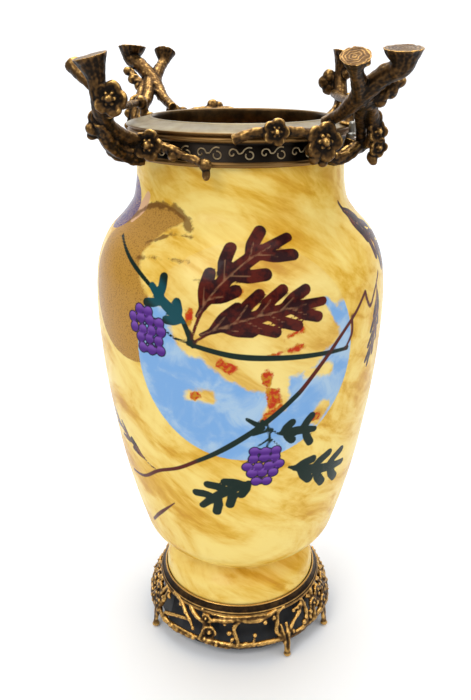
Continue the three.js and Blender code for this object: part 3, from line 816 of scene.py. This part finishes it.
def add_blossom(bm, spot, angle, radius, lift, depth):
    """Five cupped petals round a heart, with a ring of small balls."""
    facing = facing_out(spot, angle, lift)
    for i in range(PETALS):
        turn = Matrix.Rotation(2 * pi * i / PETALS, 4, "Z")
        add_copy(bm, PETAL, facing @ turn @ sized(radius, radius, depth))
    heart = Matrix.Translation((0, 0, depth * 0.3 * MM))
    add_ball(bm, facing @ heart, (radius * 0.29, radius * 0.29, depth * 1.15))
    for i in range(PISTILS):
        a = 2 * pi * i / PISTILS
        ring = Vector((cos(a) * 0.3 * radius, sin(a) * 0.3 * radius, depth * 0.6)) * MM
        add_ball(bm, facing @ Matrix.Translation(ring), [radius * 0.12] * 3)


def add_bud(bm, spot, angle, radius, length, lift):
    add_ball(bm, facing_out(spot, angle, lift), (radius, radius, length))


def add_leaf(bm, spot, angle, length, width, depth, lift):
    add_copy(bm, LEAF, facing_out(spot, angle, lift) @ sized(width, length, depth))


def fused(name, bm, material, grain, rough, sawn=()):
    """Fuses loose forms into one cast skin, roughens it as bark and marks rings on the sawn ends."""
    mesh = bpy.data.meshes.new(name)
    bm.to_mesh(mesh)
    bm.free()
    raw = bpy.data.objects.new(name, mesh)
    bpy.context.scene.collection.objects.link(raw)
    remesh = raw.modifiers.new("fuse", "REMESH")
    remesh.mode = "VOXEL"
    remesh.voxel_size = grain * MM
    soften = raw.modifiers.new("soften", "SMOOTH")
    soften.factor = 0.5
    soften.iterations = 2
    ready = raw.evaluated_get(bpy.context.evaluated_depsgraph_get())
    skin = bpy.data.meshes.new_from_object(ready)
    bpy.data.objects.remove(raw)
    bpy.data.meshes.remove(mesh)
    points = corners(skin)
    facing = normals(skin)
    lift = np.array([noise.fractal(Vector(p) * 0.3 / MM, 0.9, 2.1, 2) for p in points]) * rough - rough * 0.4
    for spot, axis, radius in sawn:
        away = points - np.array(spot)
        height = away @ np.array(axis) / MM
        out = np.linalg.norm(away - np.outer(away @ np.array(axis), axis), axis=1) / MM
        face = (np.abs(height) < SAWN_FACE_DEPTH) & (out < radius)
        lift = np.where(face, SAWN_RING_DEPTH * np.sin(out * SAWN_RING_RATE + lift * 16) - 0.2, lift)
    points += facing * (lift * MM)[:, None]
    skin.vertices.foreach_set("co", points.ravel())
    skin.update()
    add_wear_and_shading(skin)
    return settled(name, skin, material)


# Castings on the collar

def on_collar(out, angle, up):
    """A place so far out from the collar's edge and up from its bottom."""
    return place(COLLAR_EDGE_RADIUS + out, angle, COLLAR_BOTTOM + up)


# Limbs as rows of (out, angle, up, thickness), all in millimetres but the angle.
# The casting with one upright stub, a hanging twig and a rail that runs back to a ball
RAIL_STUB = (
    (3, -46, 12, 4), (15, -45.7, 15.5, 3.7), (30, -44.4, 23, 4.2), (39, -41.6, 31.5, 4.9),
    (43, -39.9, 41, 4.7), (44.3, -39.8, 49.5, 5.4), (46.6, -40.3, 59.2, 9.6),
)
RAIL_SMOOTH = (
    ((41, -42, 43, 3.4), (43, -46.5, 49, 3.4), (42.5, -51, 54.5, 5)),
    ((38, -39, 31, 3.2), (18, -52, 29.5, 3), (5, -80, 28.5, 2.6), (1.2, -112, 28.4, 2.3)),
    ((0, -115, 28, 2.6), (-0.6, -117, 19.4, 3.1)),
)
RAIL_BARKED = (
    ((3, -50, 1.6, 3.9), (18, -49, 7.5, 4.6), (31, -45.8, 16, 4), (38, -43.2, 26, 3.3)),
    ((4, -48, 6, 3.2), (20, -47.4, 11, 3.4), (32, -45, 18, 3)),
    ((2.4, -40, 11, 2.6), (2.8, -32, 9.6, 2.8), (1.8, -27, 7, 2.3), (2.2, -21, 4.8, 2.1), (4, -15.5, 2, 2.5)),
)
# Blossoms as (place, way they face, radius, lift, depth), buds as (place, radius, length, lift)
RAIL_BLOSSOMS = (((6.6, -41.8, 11.2), -16, 9.4, 4, 3.6), ((42, -36, 38.4), -10, 9.6, 4, 4))
RAIL_BUDS = (
    ((0.8, -114.5, 28.7), 4.6, 4.6, 90),
    ((38.5, -46, 22), 4, 5, 10),
    ((37.4, -47.4, 18.6), 3, 3.6, -10),
    ((2.8, -30.5, 6.4), 3.6, 3.4, 0),
    ((4.4, -15, 2.4), 3.8, 3.6, 10),
    ((4.6, -14.6, -2.2), 2.6, 4.2, -80),
)
# Leaves as (place, length, width, depth, lift)
RAIL_LEAVES = (((39, -45.4, 28.6), 8, 7, 5, 20), ((-1.5, -117, 20.8), 11, 7, 3.6, 82))

# The casting with two upright stubs, two legs and a flowering twig along the front
OUTER_STUB = (
    (0.4, 40.5, 23.6, 3.2), (15, 38.6, 29, 3.8), (34, 37.4, 42, 5.6), (44, 38.4, 49.6, 5.4),
    (54.4, 38.8, 55, 6.4), (55.6, 38.4, 62.8, 10.4),
)
INNER_STUB = ((30, 37.5, 38, 5), (37, 33, 47, 4.4), (42, 29.6, 53, 4.4), (45.2, 28.2, 59.2, 8.2))
STUB_SMOOTH = (
    ((33, 38.6, 40, 4.8), (21, 44.6, 30, 4.2), (15, 51.5, 22, 3.6), (12, 56, 12, 3.4)),
    ((20, 53, 11, 3.4), (23, 51, 20, 3.8), (27, 46, 30, 3.4), (33, 41, 38, 3.4)),
    ((4, 34, 16, 4), (4.8, 25, 19.6, 3), (4.4, 14, 20, 3.2), (3, 4, 19.4, 3), (1.8, -3.6, 15.6, 3.2)),
    ((2.6, BOLT_ANGLE, 7.4, 4.2), (4.2, BOLT_ANGLE, 13, 4.2)),
    ((3.4, BOLT_ANGLE, 8, 3.8), (12, 56.5, 8.6, 3.6)),
)
STUB_BARKED = (
    ((4.4, 39, 5.6, 3.5), (6.6, 43, 3.8, 3.8), (10.4, 48.7, 6.6, 3.6), (13.4, 55.6, 10.4, 3.3),
     (20, 53.5, 12, 3)),
    ((34, 41.5, 37, 2.8), (42, 42.6, 42.6, 3.2), (48, 42.4, 48, 2.2)),
    ((16, 38.6, 29.6, 3.3), (25, 38, 35, 4), (35, 37.6, 42.4, 4.8)),
)
STUB_BLOSSOMS = (
    ((8, 34.8, 14), 20, 11.6, 4, 4),
    ((26, 50.4, 18.9), 26, 6.8, 6, 3.4),
    ((26.6, 51, 10.7), 22, 6, -8, 3.2),
    ((6, 13.8, 20.2), 12, 7.8, 4, 3.2),
)
STUB_BUDS = (
    ((24, 50.4, 4.4), 3, 4.4, -60),
    ((5.6, 29.4, 9.4), 3.2, 3, 0),
    ((6.6, 31, 4.6), 3.4, 3.2, 0),
    ((7, 35.4, 2.6), 3, 3, -10),
    ((36, 42.6, 36.2), 3.4, 3.8, 0),
    ((41, 43.4, 41), 3.8, 3.8, 0),
    ((46.4, 43.4, 46.4), 3.4, 3.4, 10),
    ((30, 41.4, 34), 2.8, 3.2, 0),
)
STUB_LEAVES = (((25.8, 49.6, 28), 9, 9, 5, 30),)


def sawn_end(spots, radius):
    """The flat end of a stub: its middle, the way it faces and its radius."""
    last, before = on_collar(*spots[-1][:3]), on_collar(*spots[-2][:3])
    return last, (last - before).normalized(), radius


def casting(name, smooth, barked, blossoms, buds, leaves, sawn):
    """One spray: smooth and barked limbs with their blossoms, buds and leaves, fused."""
    bm = bmesh.new()
    rough = [rows_at(on_collar, rows) for rows in barked]
    add_limbs(bm, [rows_at(on_collar, rows) for rows in smooth] + rough)
    add_limbs(bm, [ridge for rows in rough for ridge in bark(rows)], lumpy=0.5, rounding=3)
    for spot, facing, radius, lift, depth in blossoms:
        add_blossom(bm, on_collar(*spot), facing, radius, lift, depth)
    for spot, radius, length, lift in buds:
        add_bud(bm, on_collar(*spot), spot[1], radius, length, lift)
    for spot, length, width, depth, lift in leaves:
        add_leaf(bm, on_collar(*spot), spot[1], length, width, depth, lift)
    return fused(name, bm, GILT, CASTING_GRAIN, BARK_ROUGHNESS, sawn)


def pair(first, name, replaced, twin_replaced, slot):
    """A casting and its twin, which stands opposite it."""
    mesh = first.data.copy()
    mesh.transform(Matrix.Rotation(pi, 4, "Z"))
    twin = settled(name, mesh, first.data.materials[0])
    for thing, node in ((first, replaced), (twin, twin_replaced)):
        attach(thing, "root")
        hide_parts(node)


def fixing_bolt():
    """A steel stud with thread ridges, on a round flange."""
    shoulder = FLANGE_THICKNESS + 0.4
    profile = [
        (0, 0), (FLANGE_RADIUS, 0), (FLANGE_RADIUS, FLANGE_THICKNESS), (FLANGE_RADIUS - 0.4, shoulder),
        (STUD_RADIUS, shoulder),
    ]
    for i in range(THREADS):
        crest = shoulder + 0.3 + i * THREAD_PITCH
        profile += [(STUD_RADIUS, crest), (STUD_RADIUS - THREAD_DEPTH, crest + THREAD_PITCH / 2)]
    profile += [(STUD_RADIUS - 0.3, STUD_HEIGHT - 0.6), (STUD_RADIUS - 1, STUD_HEIGHT), (0, STUD_HEIGHT)]
    bm = bmesh.new()
    turned(bm, profile, 32)
    spot = place(COLLAR_EDGE_RADIUS + FIT + FLANGE_RADIUS, BOLT_ANGLE, BOLT_FOOT_HEIGHT)
    bmesh.ops.translate(bm, vec=spot, verts=bm.verts)
    return piece("bolt_right", bm, bolt_steel())


# Collar

FRIEZE_RADIUS = NECK_RADIUS + FIT + FRIEZE_WALL


def frieze_scrolls():
    """A spiral with a tail that runs up to the right, and a small open ring under the tail."""
    middle = (FRIEZE_BOTTOM + FRIEZE_TOP) / 2
    spiral = [((0.5 + 0.42 * a) * cos(a) - 4.8, -(0.5 + 0.42 * a) * sin(a)) for a in np.linspace(0, 5.6, 13)]
    spiral += [(-1.4, 0), (0.2, 0.2), (1.8, 2.2), (3.8, 3.3), (6, 3.1)]
    ring = [(2.2 * cos(a) + 4.6, 2.1 * sin(a) - 1) for a in np.linspace(2.7, 8, 13)]
    limbs = []
    for i in range(SCROLLS):
        for shape in (spiral, ring):
            spots = [
                place(FRIEZE_RADIUS, i * 360 / SCROLLS + x / radians(FRIEZE_RADIUS), middle + up) / MM
                for x, up in shape
            ]
            limbs.append([(*spot, SCROLL_THICKNESS) for spot in spots])
    return limbs


def collar():
    """The turned collar with its frieze of raised scrolls, brightest on its plate as painted light from
    above.
    """
    edge = COLLAR_TOP - COLLAR_EDGE_DROP
    profile = [
        (NECK_RADIUS + FIT, COLLAR_BOTTOM),
        (FRIEZE_RADIUS + 0.5, COLLAR_BOTTOM),
        (FRIEZE_RADIUS + 1.1, COLLAR_BOTTOM + 0.7),
        (FRIEZE_RADIUS + 1.1, COLLAR_BOTTOM + 2.2),
        (FRIEZE_RADIUS + 0.4, COLLAR_BOTTOM + 2.9),
        (FRIEZE_RADIUS, COLLAR_BOTTOM + 3.2),
        (FRIEZE_RADIUS, FRIEZE_TOP),
        (FRIEZE_RADIUS - 0.9, FRIEZE_TOP + 1),
        (FRIEZE_RADIUS + 0.9, FRIEZE_TOP + 1.6),
        (FRIEZE_RADIUS + 1.9, FRIEZE_TOP + 2.4),
        (FRIEZE_RADIUS + 1.9, FRIEZE_TOP + 3.8),
        (FRIEZE_RADIUS + 0.9, FRIEZE_TOP + 4.6),
        (FRIEZE_RADIUS - 0.9, edge - 0.9),
        (COLLAR_EDGE_RADIUS - 0.8, edge - 0.7),
        (COLLAR_EDGE_RADIUS - 0.1, edge - 0.2),
        (COLLAR_EDGE_RADIUS - 0.1, edge + 0.2),
        (COLLAR_EDGE_RADIUS - 0.8, edge + 0.6),
        (OPENING_RADIUS + 3.6, COLLAR_TOP - 0.6),
        (OPENING_RADIUS + 3.2, COLLAR_TOP - 0.9),
        (OPENING_RADIUS + 2.6, COLLAR_TOP - 0.1),
        (OPENING_RADIUS + 0.9, COLLAR_TOP - 0.1),
        (OPENING_RADIUS + 0.1, COLLAR_TOP - 0.7),
        (OPENING_RADIUS, COLLAR_TOP - 2),
        (OPENING_RADIUS, COLLAR_TOP - SLEEVE_DEPTH),
        (OPENING_RADIUS + SLEEVE_WALL, COLLAR_TOP - SLEEVE_DEPTH),
        (OPENING_RADIUS + SLEEVE_WALL, COLLAR_TOP - 3),
        (NECK_RADIUS + FIT, MOUTH_HEIGHT + FIT),
    ]
    bm = bmesh.new()
    turned(bm, profile, METAL_SIDES)
    add_limbs(bm, frieze_scrolls(), lumpy=0, spacing=0.5, rounding=2)
    thing = piece("collar", bm, plate_bronze())
    points = corners(thing.data) / MM
    radius = np.hypot(points[:, 0], points[:, 1])
    frieze = (points[:, 2] > COLLAR_BOTTOM + 3) & (points[:, 2] < FRIEZE_TOP + 1.2)
    # Painted light: the upward plate is made lighter than the sides.
    plate = np.where(points[:, 2] > edge + 0.3, 0.8, 0.55)
    wear_and_shading = np.where(frieze, np.clip((radius - FRIEZE_RADIUS) * 2.2, 0.02, 0.75), plate)
    # Painted shade: the inside of the sleeve is made darker.
    numbers(thing.data, "wear_and_shading", np.where(radius < OPENING_RADIUS + 0.3, 0.25, wear_and_shading))
    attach(thing, "root")
    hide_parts("rim_collar")


# Foot mount


def on_skirt(angle, down, proud=0.0):
    """A place on the openwork: the share of the way down from the ring to the rim."""
    return place(
        lerp(SKIRT_TOP_RADIUS, RIM_RADIUS, down) + proud,
        angle,
        lerp(SKIRT_TOP_HEIGHT, RIM_HEIGHT, down),
    )


TWIG_FULLNESS = 1.2
# Twigs of one half of the openwork, as rows of (angle, share down, how far proud, thickness)
TWIGS = (
    ((-54, 0.0, 0, 1.8), (-45, 0.04, 0.4, 1.5), (-38.3, 0.31, 0.6, 1.4), (-33.9, 0.5, 0.3, 1.6)),
    ((-58.8, 0.06, 0, 1.8), (-60.5, 0.35, 0.6, 1.6), (-62.4, 0.83, 0.6, 1.9)),
    ((-34, 0.5, 0, 1.4), (-45, 0.62, 0.2, 1.3), (-56, 0.86, 0, 1.5)),
    ((-37, 0, 0, 1.7), (-32.3, 0.18, 0.6, 1.4), (-27.8, 0.3, 0.8, 1.5), (-22.5, 0.36, 0.6, 1.9)),
    ((-22.5, 0.36, 0.6, 1.7), (-16.6, 0.22, 0.8, 1.6), (-9.2, 0.19, 0.8, 1.8), (-1.3, 0.13, 0.8, 1.5),
     (6.7, 0.18, 0.9, 1.7), (14.8, 0.17, 0.8, 1.5), (20.7, 0.06, 0.5, 1.7), (26, 0, 0, 1.8)),
    ((-28, 0, 0, 1.5), (-12, 0.06, 0.6, 1.2), (0.1, 0.05, 0.8, 1.3), (17, 0.06, 0.4, 1.2)),
    ((0.1, 0.13, 0.4, 1.5), (-3.7, 0.43, 0.7, 1.3), (-2.4, 0.69, 0.5, 1.3), (-0.8, 0.98, 0, 1.6)),
    ((-22.5, 0.36, 0.6, 1.7), (-23.4, 0.7, 0.6, 1.3), (-25, 1, 0, 1.5)),
    ((26, 0.04, 0, 1.7), (24.7, 0.39, 0.5, 1.4), (23.5, 0.71, 0.5, 1.4), (27, 0.98, 0.2, 1.6)),
    ((25.7, 0.16, 0.3, 1.4), (29, 0.02, 0.2, 1.4), (33, 0, 0, 1.5)),
    ((31, 0.9, 0.3, 1.5), (36, 0.62, 0.4, 1.3), (42, 0.42, 0.4, 1.4), (48, 0.1, 0.2, 1.6)),
    ((47.1, 0.02, 0, 1.7), (48.8, 0.52, 0.5, 1.5), (45, 0.98, 0.2, 1.6)),
    ((60, 0, 0, 1.8), (57, 0.4, 0.6, 1.6), (54, 1, 0.2, 1.8)),
    ((72, 0, 0, 1.8), (76, 0.5, 0.6, 1.6), (72, 1, 0.2, 1.8)),
    ((90, 0, 0, 1.8), (86, 0.45, 0.6, 1.6), (92, 1, 0.2, 1.8)),
    ((104, 0, 0, 1.8), (108, 0.5, 0.6, 1.6), (102, 1, 0.2, 1.8)),
    ((118, 0, 0, 1.8), (114, 0.5, 0.6, 1.6), (119, 1, 0.2, 1.8)),
    ((-6.8, 0.57, 0.4, 1), (-3.2, 0.6, 0.6, 1.1)),
    ((9.3, 0.65, 0.4, 0.9), (8.6, 0.84, 0.4, 0.9), (6, 1, 0, 1.2)),
    ((38.3, 0.24, 0.4, 0.9), (42.1, 0.22, 0.5, 1), (46, 0.18, 0.4, 1.1)),
    ((-24.1, 0.12, 0.4, 1), (-24, 0.36, 0.6, 1.2)),
    ((-30.6, 0.72, 0.4, 1), (-33.9, 0.5, 0.4, 1.2)),
    ((53, 0.1, 0, 1.6), (58, 0.3, 0.6, 1.4), (63, 0.55, 0.6, 1.5), (66, 0.95, 0.3, 1.7)),
    ((66, 0, 0, 1.6), (70, 0.35, 0.7, 1.4), (78, 0.6, 0.7, 1.5), (84, 0.98, 0.3, 1.7)),
    ((82, 0, 0, 1.6), (80, 0.4, 0.7, 1.5), (70, 0.7, 0.7, 1.4), (62, 1, 0.3, 1.6)),
    ((98, 0, 0, 1.6), (94, 0.4, 0.7, 1.5), (98, 0.75, 0.7, 1.4), (108, 1, 0.3, 1.6)),
    ((58, 0.5, 0.4, 1.4), (66, 0.3, 0.6, 1.5), (76, 0.5, 0.5, 1.4), (87, 0.7, 0.5, 1.5), (97, 0.4, 0.6, 1.4),
     (108, 0.55, 0.4, 1.5)),
)
# Blossoms as (angle, share down, radius)
SKIRT_BLOSSOMS = (
    (-18.9, 0.62, 5.6), (-22.5, 0.2, 3.8), (56.4, 0.44, 4.6), (66, 0.24, 4.4), (68, 0.76, 4.8),
    (81, 0.3, 4.8), (79, 0.78, 4.2), (97, 0.55, 4.8), (110, 0.3, 4.4), (115.6, 0.76, 4.2), (-71.1, 0.7, 4.2),
)
# Buds and berries as (angle, share down, radius)
SKIRT_BUDS = (
    (-6.8, 0.57, 1.9), (-4.8, 0.78, 1.6), (9.3, 0.65, 1.8), (-9.7, 0.3, 1.4), (16.6, 0.29, 1.8),
    (38.3, 0.24, 1.5), (42.1, 0.22, 1.5), (-24.1, 0.12, 2.0), (3.6, 0.92, 1.9), (7.2, 0.94, 1.7),
    (10.6, 0.97, 1.5), (-14, 1.0, 1.7),
    (-29, 0.98, 1.8), (-44, 0.14, 1.8), (-46, 0.98, 1.9), (-53, 1.0, 2.1), (-38.6, 0.3, 1.7), (44, 0.8, 2.0),
    (49.6, 0.77, 2.1), (52, 0.66, 1.8), (34.3, 0.88, 1.8), (19, 0.98, 1.5), (62, 0.95, 2.0), (74, 0.1, 2.0),
    (88, 0.1, 1.9), (90, 0.86, 2.1), (103, 0.12, 1.9), (104, 0.9, 2.1), (-60.5, 0.5, 1.9), (-21.5, 0.9, 1.7),
)
# Small leaves as (angle, share down, length, width)
SKIRT_LEAVES = (
    (61, 0.66, 7, 4.4), (73, 0.52, 6.6, 4), (86, 0.6, 7, 4.4), (92, 0.36, 6.6, 4), (118, 0.5, 7, 4.4),
    (23, 0.24, 5.6, 3.2), (-30.6, 0.7, 5, 3), (66, 0.5, 7, 5), (71.6, 0.34, 7, 5), (75, 0.72, 7, 5),
    (84, 0.42, 7, 5), (87.6, 0.22, 7, 5), (88.4, 0.8, 7, 5), (93, 0.62, 7, 5), (99, 0.28, 7, 5),
    (101, 0.84, 7, 5), (106, 0.44, 7, 5), (112, 0.58, 7, 5), (64, 0.86, 6.4, 4.6), (104, 0.66, 6.4, 4),
    (59, 0.12, 6, 4), (-57, 0.24, 5.4, 3.2),
)
RIM_WAVE_THICKNESS = (2.0, 2.3, 1.7, 2.2, 1.8, 2.3)


def foot_ring():
    """The smooth ring that holds the glass: a dark slope between a fine lip, a line and a bead, with painted
    highlights on these and patina and painted shade in the grooves beside them.
    """
    seat = GLASS_FOOT_RADIUS + FIT
    below = GLASS_UNDERSIDE - FIT - 0.2
    # Each row is a radius, a height and how bright the metal is there, from rubbed gilding, patina and
    # painted light
    rows = (
        (LEDGE_RADIUS, below, 0.2), (LEDGE_RADIUS, RING_BOTTOM + 0.2, 0.2),
        (RING_EDGE_RADIUS - 1.6, RING_BOTTOM + 0.2, 0.4), (RING_EDGE_RADIUS - 0.5, RING_BOTTOM + 0.7, 0.62),
        (RING_EDGE_RADIUS - 0.1, RING_BOTTOM + 1.7, 0.72), (RING_EDGE_RADIUS - 0.5, RING_BOTTOM + 2.7, 0.62),
        (RING_EDGE_RADIUS - 1.3, RING_BOTTOM + 3.2, 0.1), (RING_EDGE_RADIUS - 1.2, RING_BOTTOM + 3.5, 0.75),
        (RING_EDGE_RADIUS - 1.3, RING_BOTTOM + 4.1, 0.75), (RING_EDGE_RADIUS - 2.0, RING_BOTTOM + 4.3, 0.1),
        (RING_EDGE_RADIUS - 2.2, RING_BOTTOM + 4.7, 0.22), (seat + 2.0, RING_TOP - 1.9, 0.26),
        (seat + 1.6, RING_TOP - 1.2, 0.2), (seat + 1.5, RING_TOP - 0.5, 0.85),
        (seat + 0.9, RING_TOP - 0.1, 0.9), (seat + 0.3, RING_TOP - 0.3, 0.6), (seat + 0.3, below, 0.2),
    )
    bm = bmesh.new()
    turned(bm, [row[:2] for row in rows], METAL_SIDES)
    thing = piece("foot_ring", bm, GILT)
    points = corners(thing.data) / MM
    places = np.array([row[:2] for row in rows])
    here = np.stack([np.hypot(points[:, 0], points[:, 1]), points[:, 2]], 1)
    nearest = np.linalg.norm(here[:, None] - places[None], axis=2).argmin(axis=1)
    # The brightness carries painted highlights on the lip, line and bead and painted shade in the grooves.
    numbers(thing.data, "wear_and_shading", np.array([row[2] for row in rows])[nearest])
    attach(thing, "root")
    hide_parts("foot_mount")


def foot_openwork():
    """Twigs, blossoms, buds and leaves between the ring and a wavy rim, on six toes."""
    bm = bmesh.new()
    limbs = []
    for turn in (0, 180):
        for rows in TWIGS:
            limbs.append([
                (*(on_skirt(angle + turn, down, proud) / MM), thick * TWIG_FULLNESS)
                for angle, down, proud, thick in rows
            ])
        for angle in FOOT_ANGLES:
            for side in (-1, 1):
                limbs.append([
                    (*(on_skirt(angle + turn + 2.2 * side, 0.5) / MM), 1.3),
                    (*(on_skirt(angle + turn + 1.4 * side, 0.98, 0.8) / MM), 1.7),
                    (*(place(FOOT_SPREAD - 0.7, angle + turn + 0.5 * side, TOE_RADIUS + 2) / MM), 1.7),
                    (*(place(FOOT_SPREAD - 0.6, angle + turn, TOE_RADIUS) / MM), 2.2),
                ])
        for angle, down, radius in SKIRT_BLOSSOMS:
            add_blossom(bm, on_skirt(angle + turn, down, 1.1), angle + turn, radius, 6, 2.3)
        for angle, down, radius in SKIRT_BUDS:
            add_bud(bm, on_skirt(angle + turn, down, 0.9), angle + turn, radius, radius * 1.1, -30)
        for angle, down, length, width in SKIRT_LEAVES:
            add_leaf(bm, on_skirt(angle + turn, down, 0.8), angle + turn, length, width, 3.2, -15)
    for phase in (0, 2.1):
        for turn in (0, 120, 240):
            limbs.append([
                (*(place(RIM_RADIUS - 0.2 + 0.5 * sin(a / 9 + phase), turn + a,
                         RIM_HEIGHT + 1.1 * sin(a / 8 + turn + phase)) / MM),
                 RIM_WAVE_THICKNESS[i % len(RIM_WAVE_THICKNESS)] * (1 - 0.12 * phase))
                for i, a in enumerate(range(-2, 124, 6))
            ])
    add_limbs(bm, limbs, lumpy=0.3)
    for turn in (0, 180):
        for angle in FOOT_ANGLES:
            facing = Matrix.Translation(place(FOOT_SPREAD - 0.4, angle + turn, TOE_RADIUS * 0.56))
            add_ball(bm, facing, (TOE_RADIUS - 0.4, TOE_RADIUS - 0.4, TOE_RADIUS * 0.56))
    mount = fused("foot_openwork", bm, GILT, FOOT_GRAIN, FOOT_ROUGHNESS)
    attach(mount, "root")
    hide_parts("foot_mount")


# Putting it together

GILT = gilt_bronze()
glass_vase()
collar()
rail = casting(
    "spray_front_left", (RAIL_STUB, *RAIL_SMOOTH), RAIL_BARKED, RAIL_BLOSSOMS, RAIL_BUDS, RAIL_LEAVES,
    [sawn_end(RAIL_STUB, RAIL_STUB_FACE)],
)
pair(rail, "spray_back_right", "branch_front_left", "branch_back_right", "gilt_bronze")
stubs = casting(
    "spray_front_right", (OUTER_STUB, INNER_STUB, *STUB_SMOOTH), STUB_BARKED, STUB_BLOSSOMS, STUB_BUDS,
    STUB_LEAVES,
    [sawn_end(OUTER_STUB, OUTER_STUB_FACE), sawn_end(INNER_STUB, INNER_STUB_FACE)],
)
pair(stubs, "spray_back_left", "branch_front_right", "branch_back_left", "gilt_bronze")
pair(fixing_bolt(), "bolt_left", "fixing_bolt_right", "fixing_bolt_left", "steel")
foot_ring()
foot_openwork()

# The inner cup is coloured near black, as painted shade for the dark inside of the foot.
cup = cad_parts["inner_cup"]
cup.data.materials.clear()
cup.data.materials.append(dark_metal())


def floor():
    """A pale floor that curves up into a pale wall behind the vase."""
    bm = bmesh.new()
    bmesh.ops.create_grid(bm, x_segments=2, y_segments=160, size=FLOOR_HALF * MM)
    start, bend = COVE_START * MM, COVE_RADIUS * MM
    quarter = bend * pi / 2
    for vert in bm.verts:
        past = vert.co.y - start
        if past > quarter:
            vert.co.y, vert.co.z = start + bend, bend + past - quarter
        elif past > 0:
            vert.co.y, vert.co.z = start + bend * sin(past / bend), bend * (1 - cos(past / bend))
    piece("floor", bm, floor_white())


def soft_light(name, spot, size, power, target=(0, 0, 220)):
    """A big square lamp that looks at a place."""
    lamp = bpy.data.lights.new(name, "AREA")
    lamp.size = size * MM
    lamp.energy = power
    holder = bpy.data.objects.new(name, lamp)
    holder.location = Vector(spot) * MM
    aim = Vector(target) * MM - holder.location
    holder.rotation_euler = aim.to_track_quat("-Z", "Y").to_euler()
    bpy.context.scene.collection.objects.link(holder)


def studio_air():
    """White to the camera. The rest is lit brightly from above and dimly from the level of the vase."""
    world = bpy.data.worlds.new("studio")
    world.use_nodes = True
    tree = world.node_tree
    way = tree.nodes.new("ShaderNodeTexCoord")
    split = tree.nodes.new("ShaderNodeSeparateXYZ")
    rise = tree.nodes.new("ShaderNodeMapRange")
    seen = tree.nodes.new("ShaderNodeLightPath")
    brighter = tree.nodes.new("ShaderNodeMath")
    brighter.operation = "MAXIMUM"
    for value, socket in zip((0, 0.8, WORLD_DIM, WORLD_BRIGHT), list(rise.inputs)[1:5]):
        socket.default_value = value
    tree.links.new(way.outputs["Generated"], split.inputs[0])
    tree.links.new(split.outputs["Z"], rise.inputs["Value"])
    tree.links.new(rise.outputs[0], brighter.inputs[0])
    tree.links.new(seen.outputs["Is Camera Ray"], brighter.inputs[1])
    sky = tree.nodes["Background"]
    sky.inputs["Color"].default_value = (1, 1, 1, 1)
    tree.links.new(brighter.outputs[0], sky.inputs["Strength"])
    bpy.context.scene.world = world


def studio():
    """The floor, the lamps and the camera."""
    floor()
    soft_light("key_light", (-900, -1300, 1500), 900, 11)
    soft_light("fill_light", (1200, -900, 900), 1100, 4)
    soft_light("top_light", (0, 200, 1700), 1200, 8)
    soft_light("wall_light", (0, 500, 1900), 1400, 18, (0, 1800, 1100))
    studio_air()
    camera = bpy.data.cameras.new("camera")
    camera.lens = CAMERA_LENS
    camera.clip_start = 0.01
    holder = bpy.data.objects.new("camera", camera)
    holder.location = Vector(CAMERA_SPOT) * MM
    holder.rotation_euler = (radians(CAMERA_TILT), 0, 0)
    bpy.context.scene.collection.objects.link(holder)
    bpy.context.scene.camera = holder
    bpy.context.scene.view_settings.view_transform = "Standard"


studio()
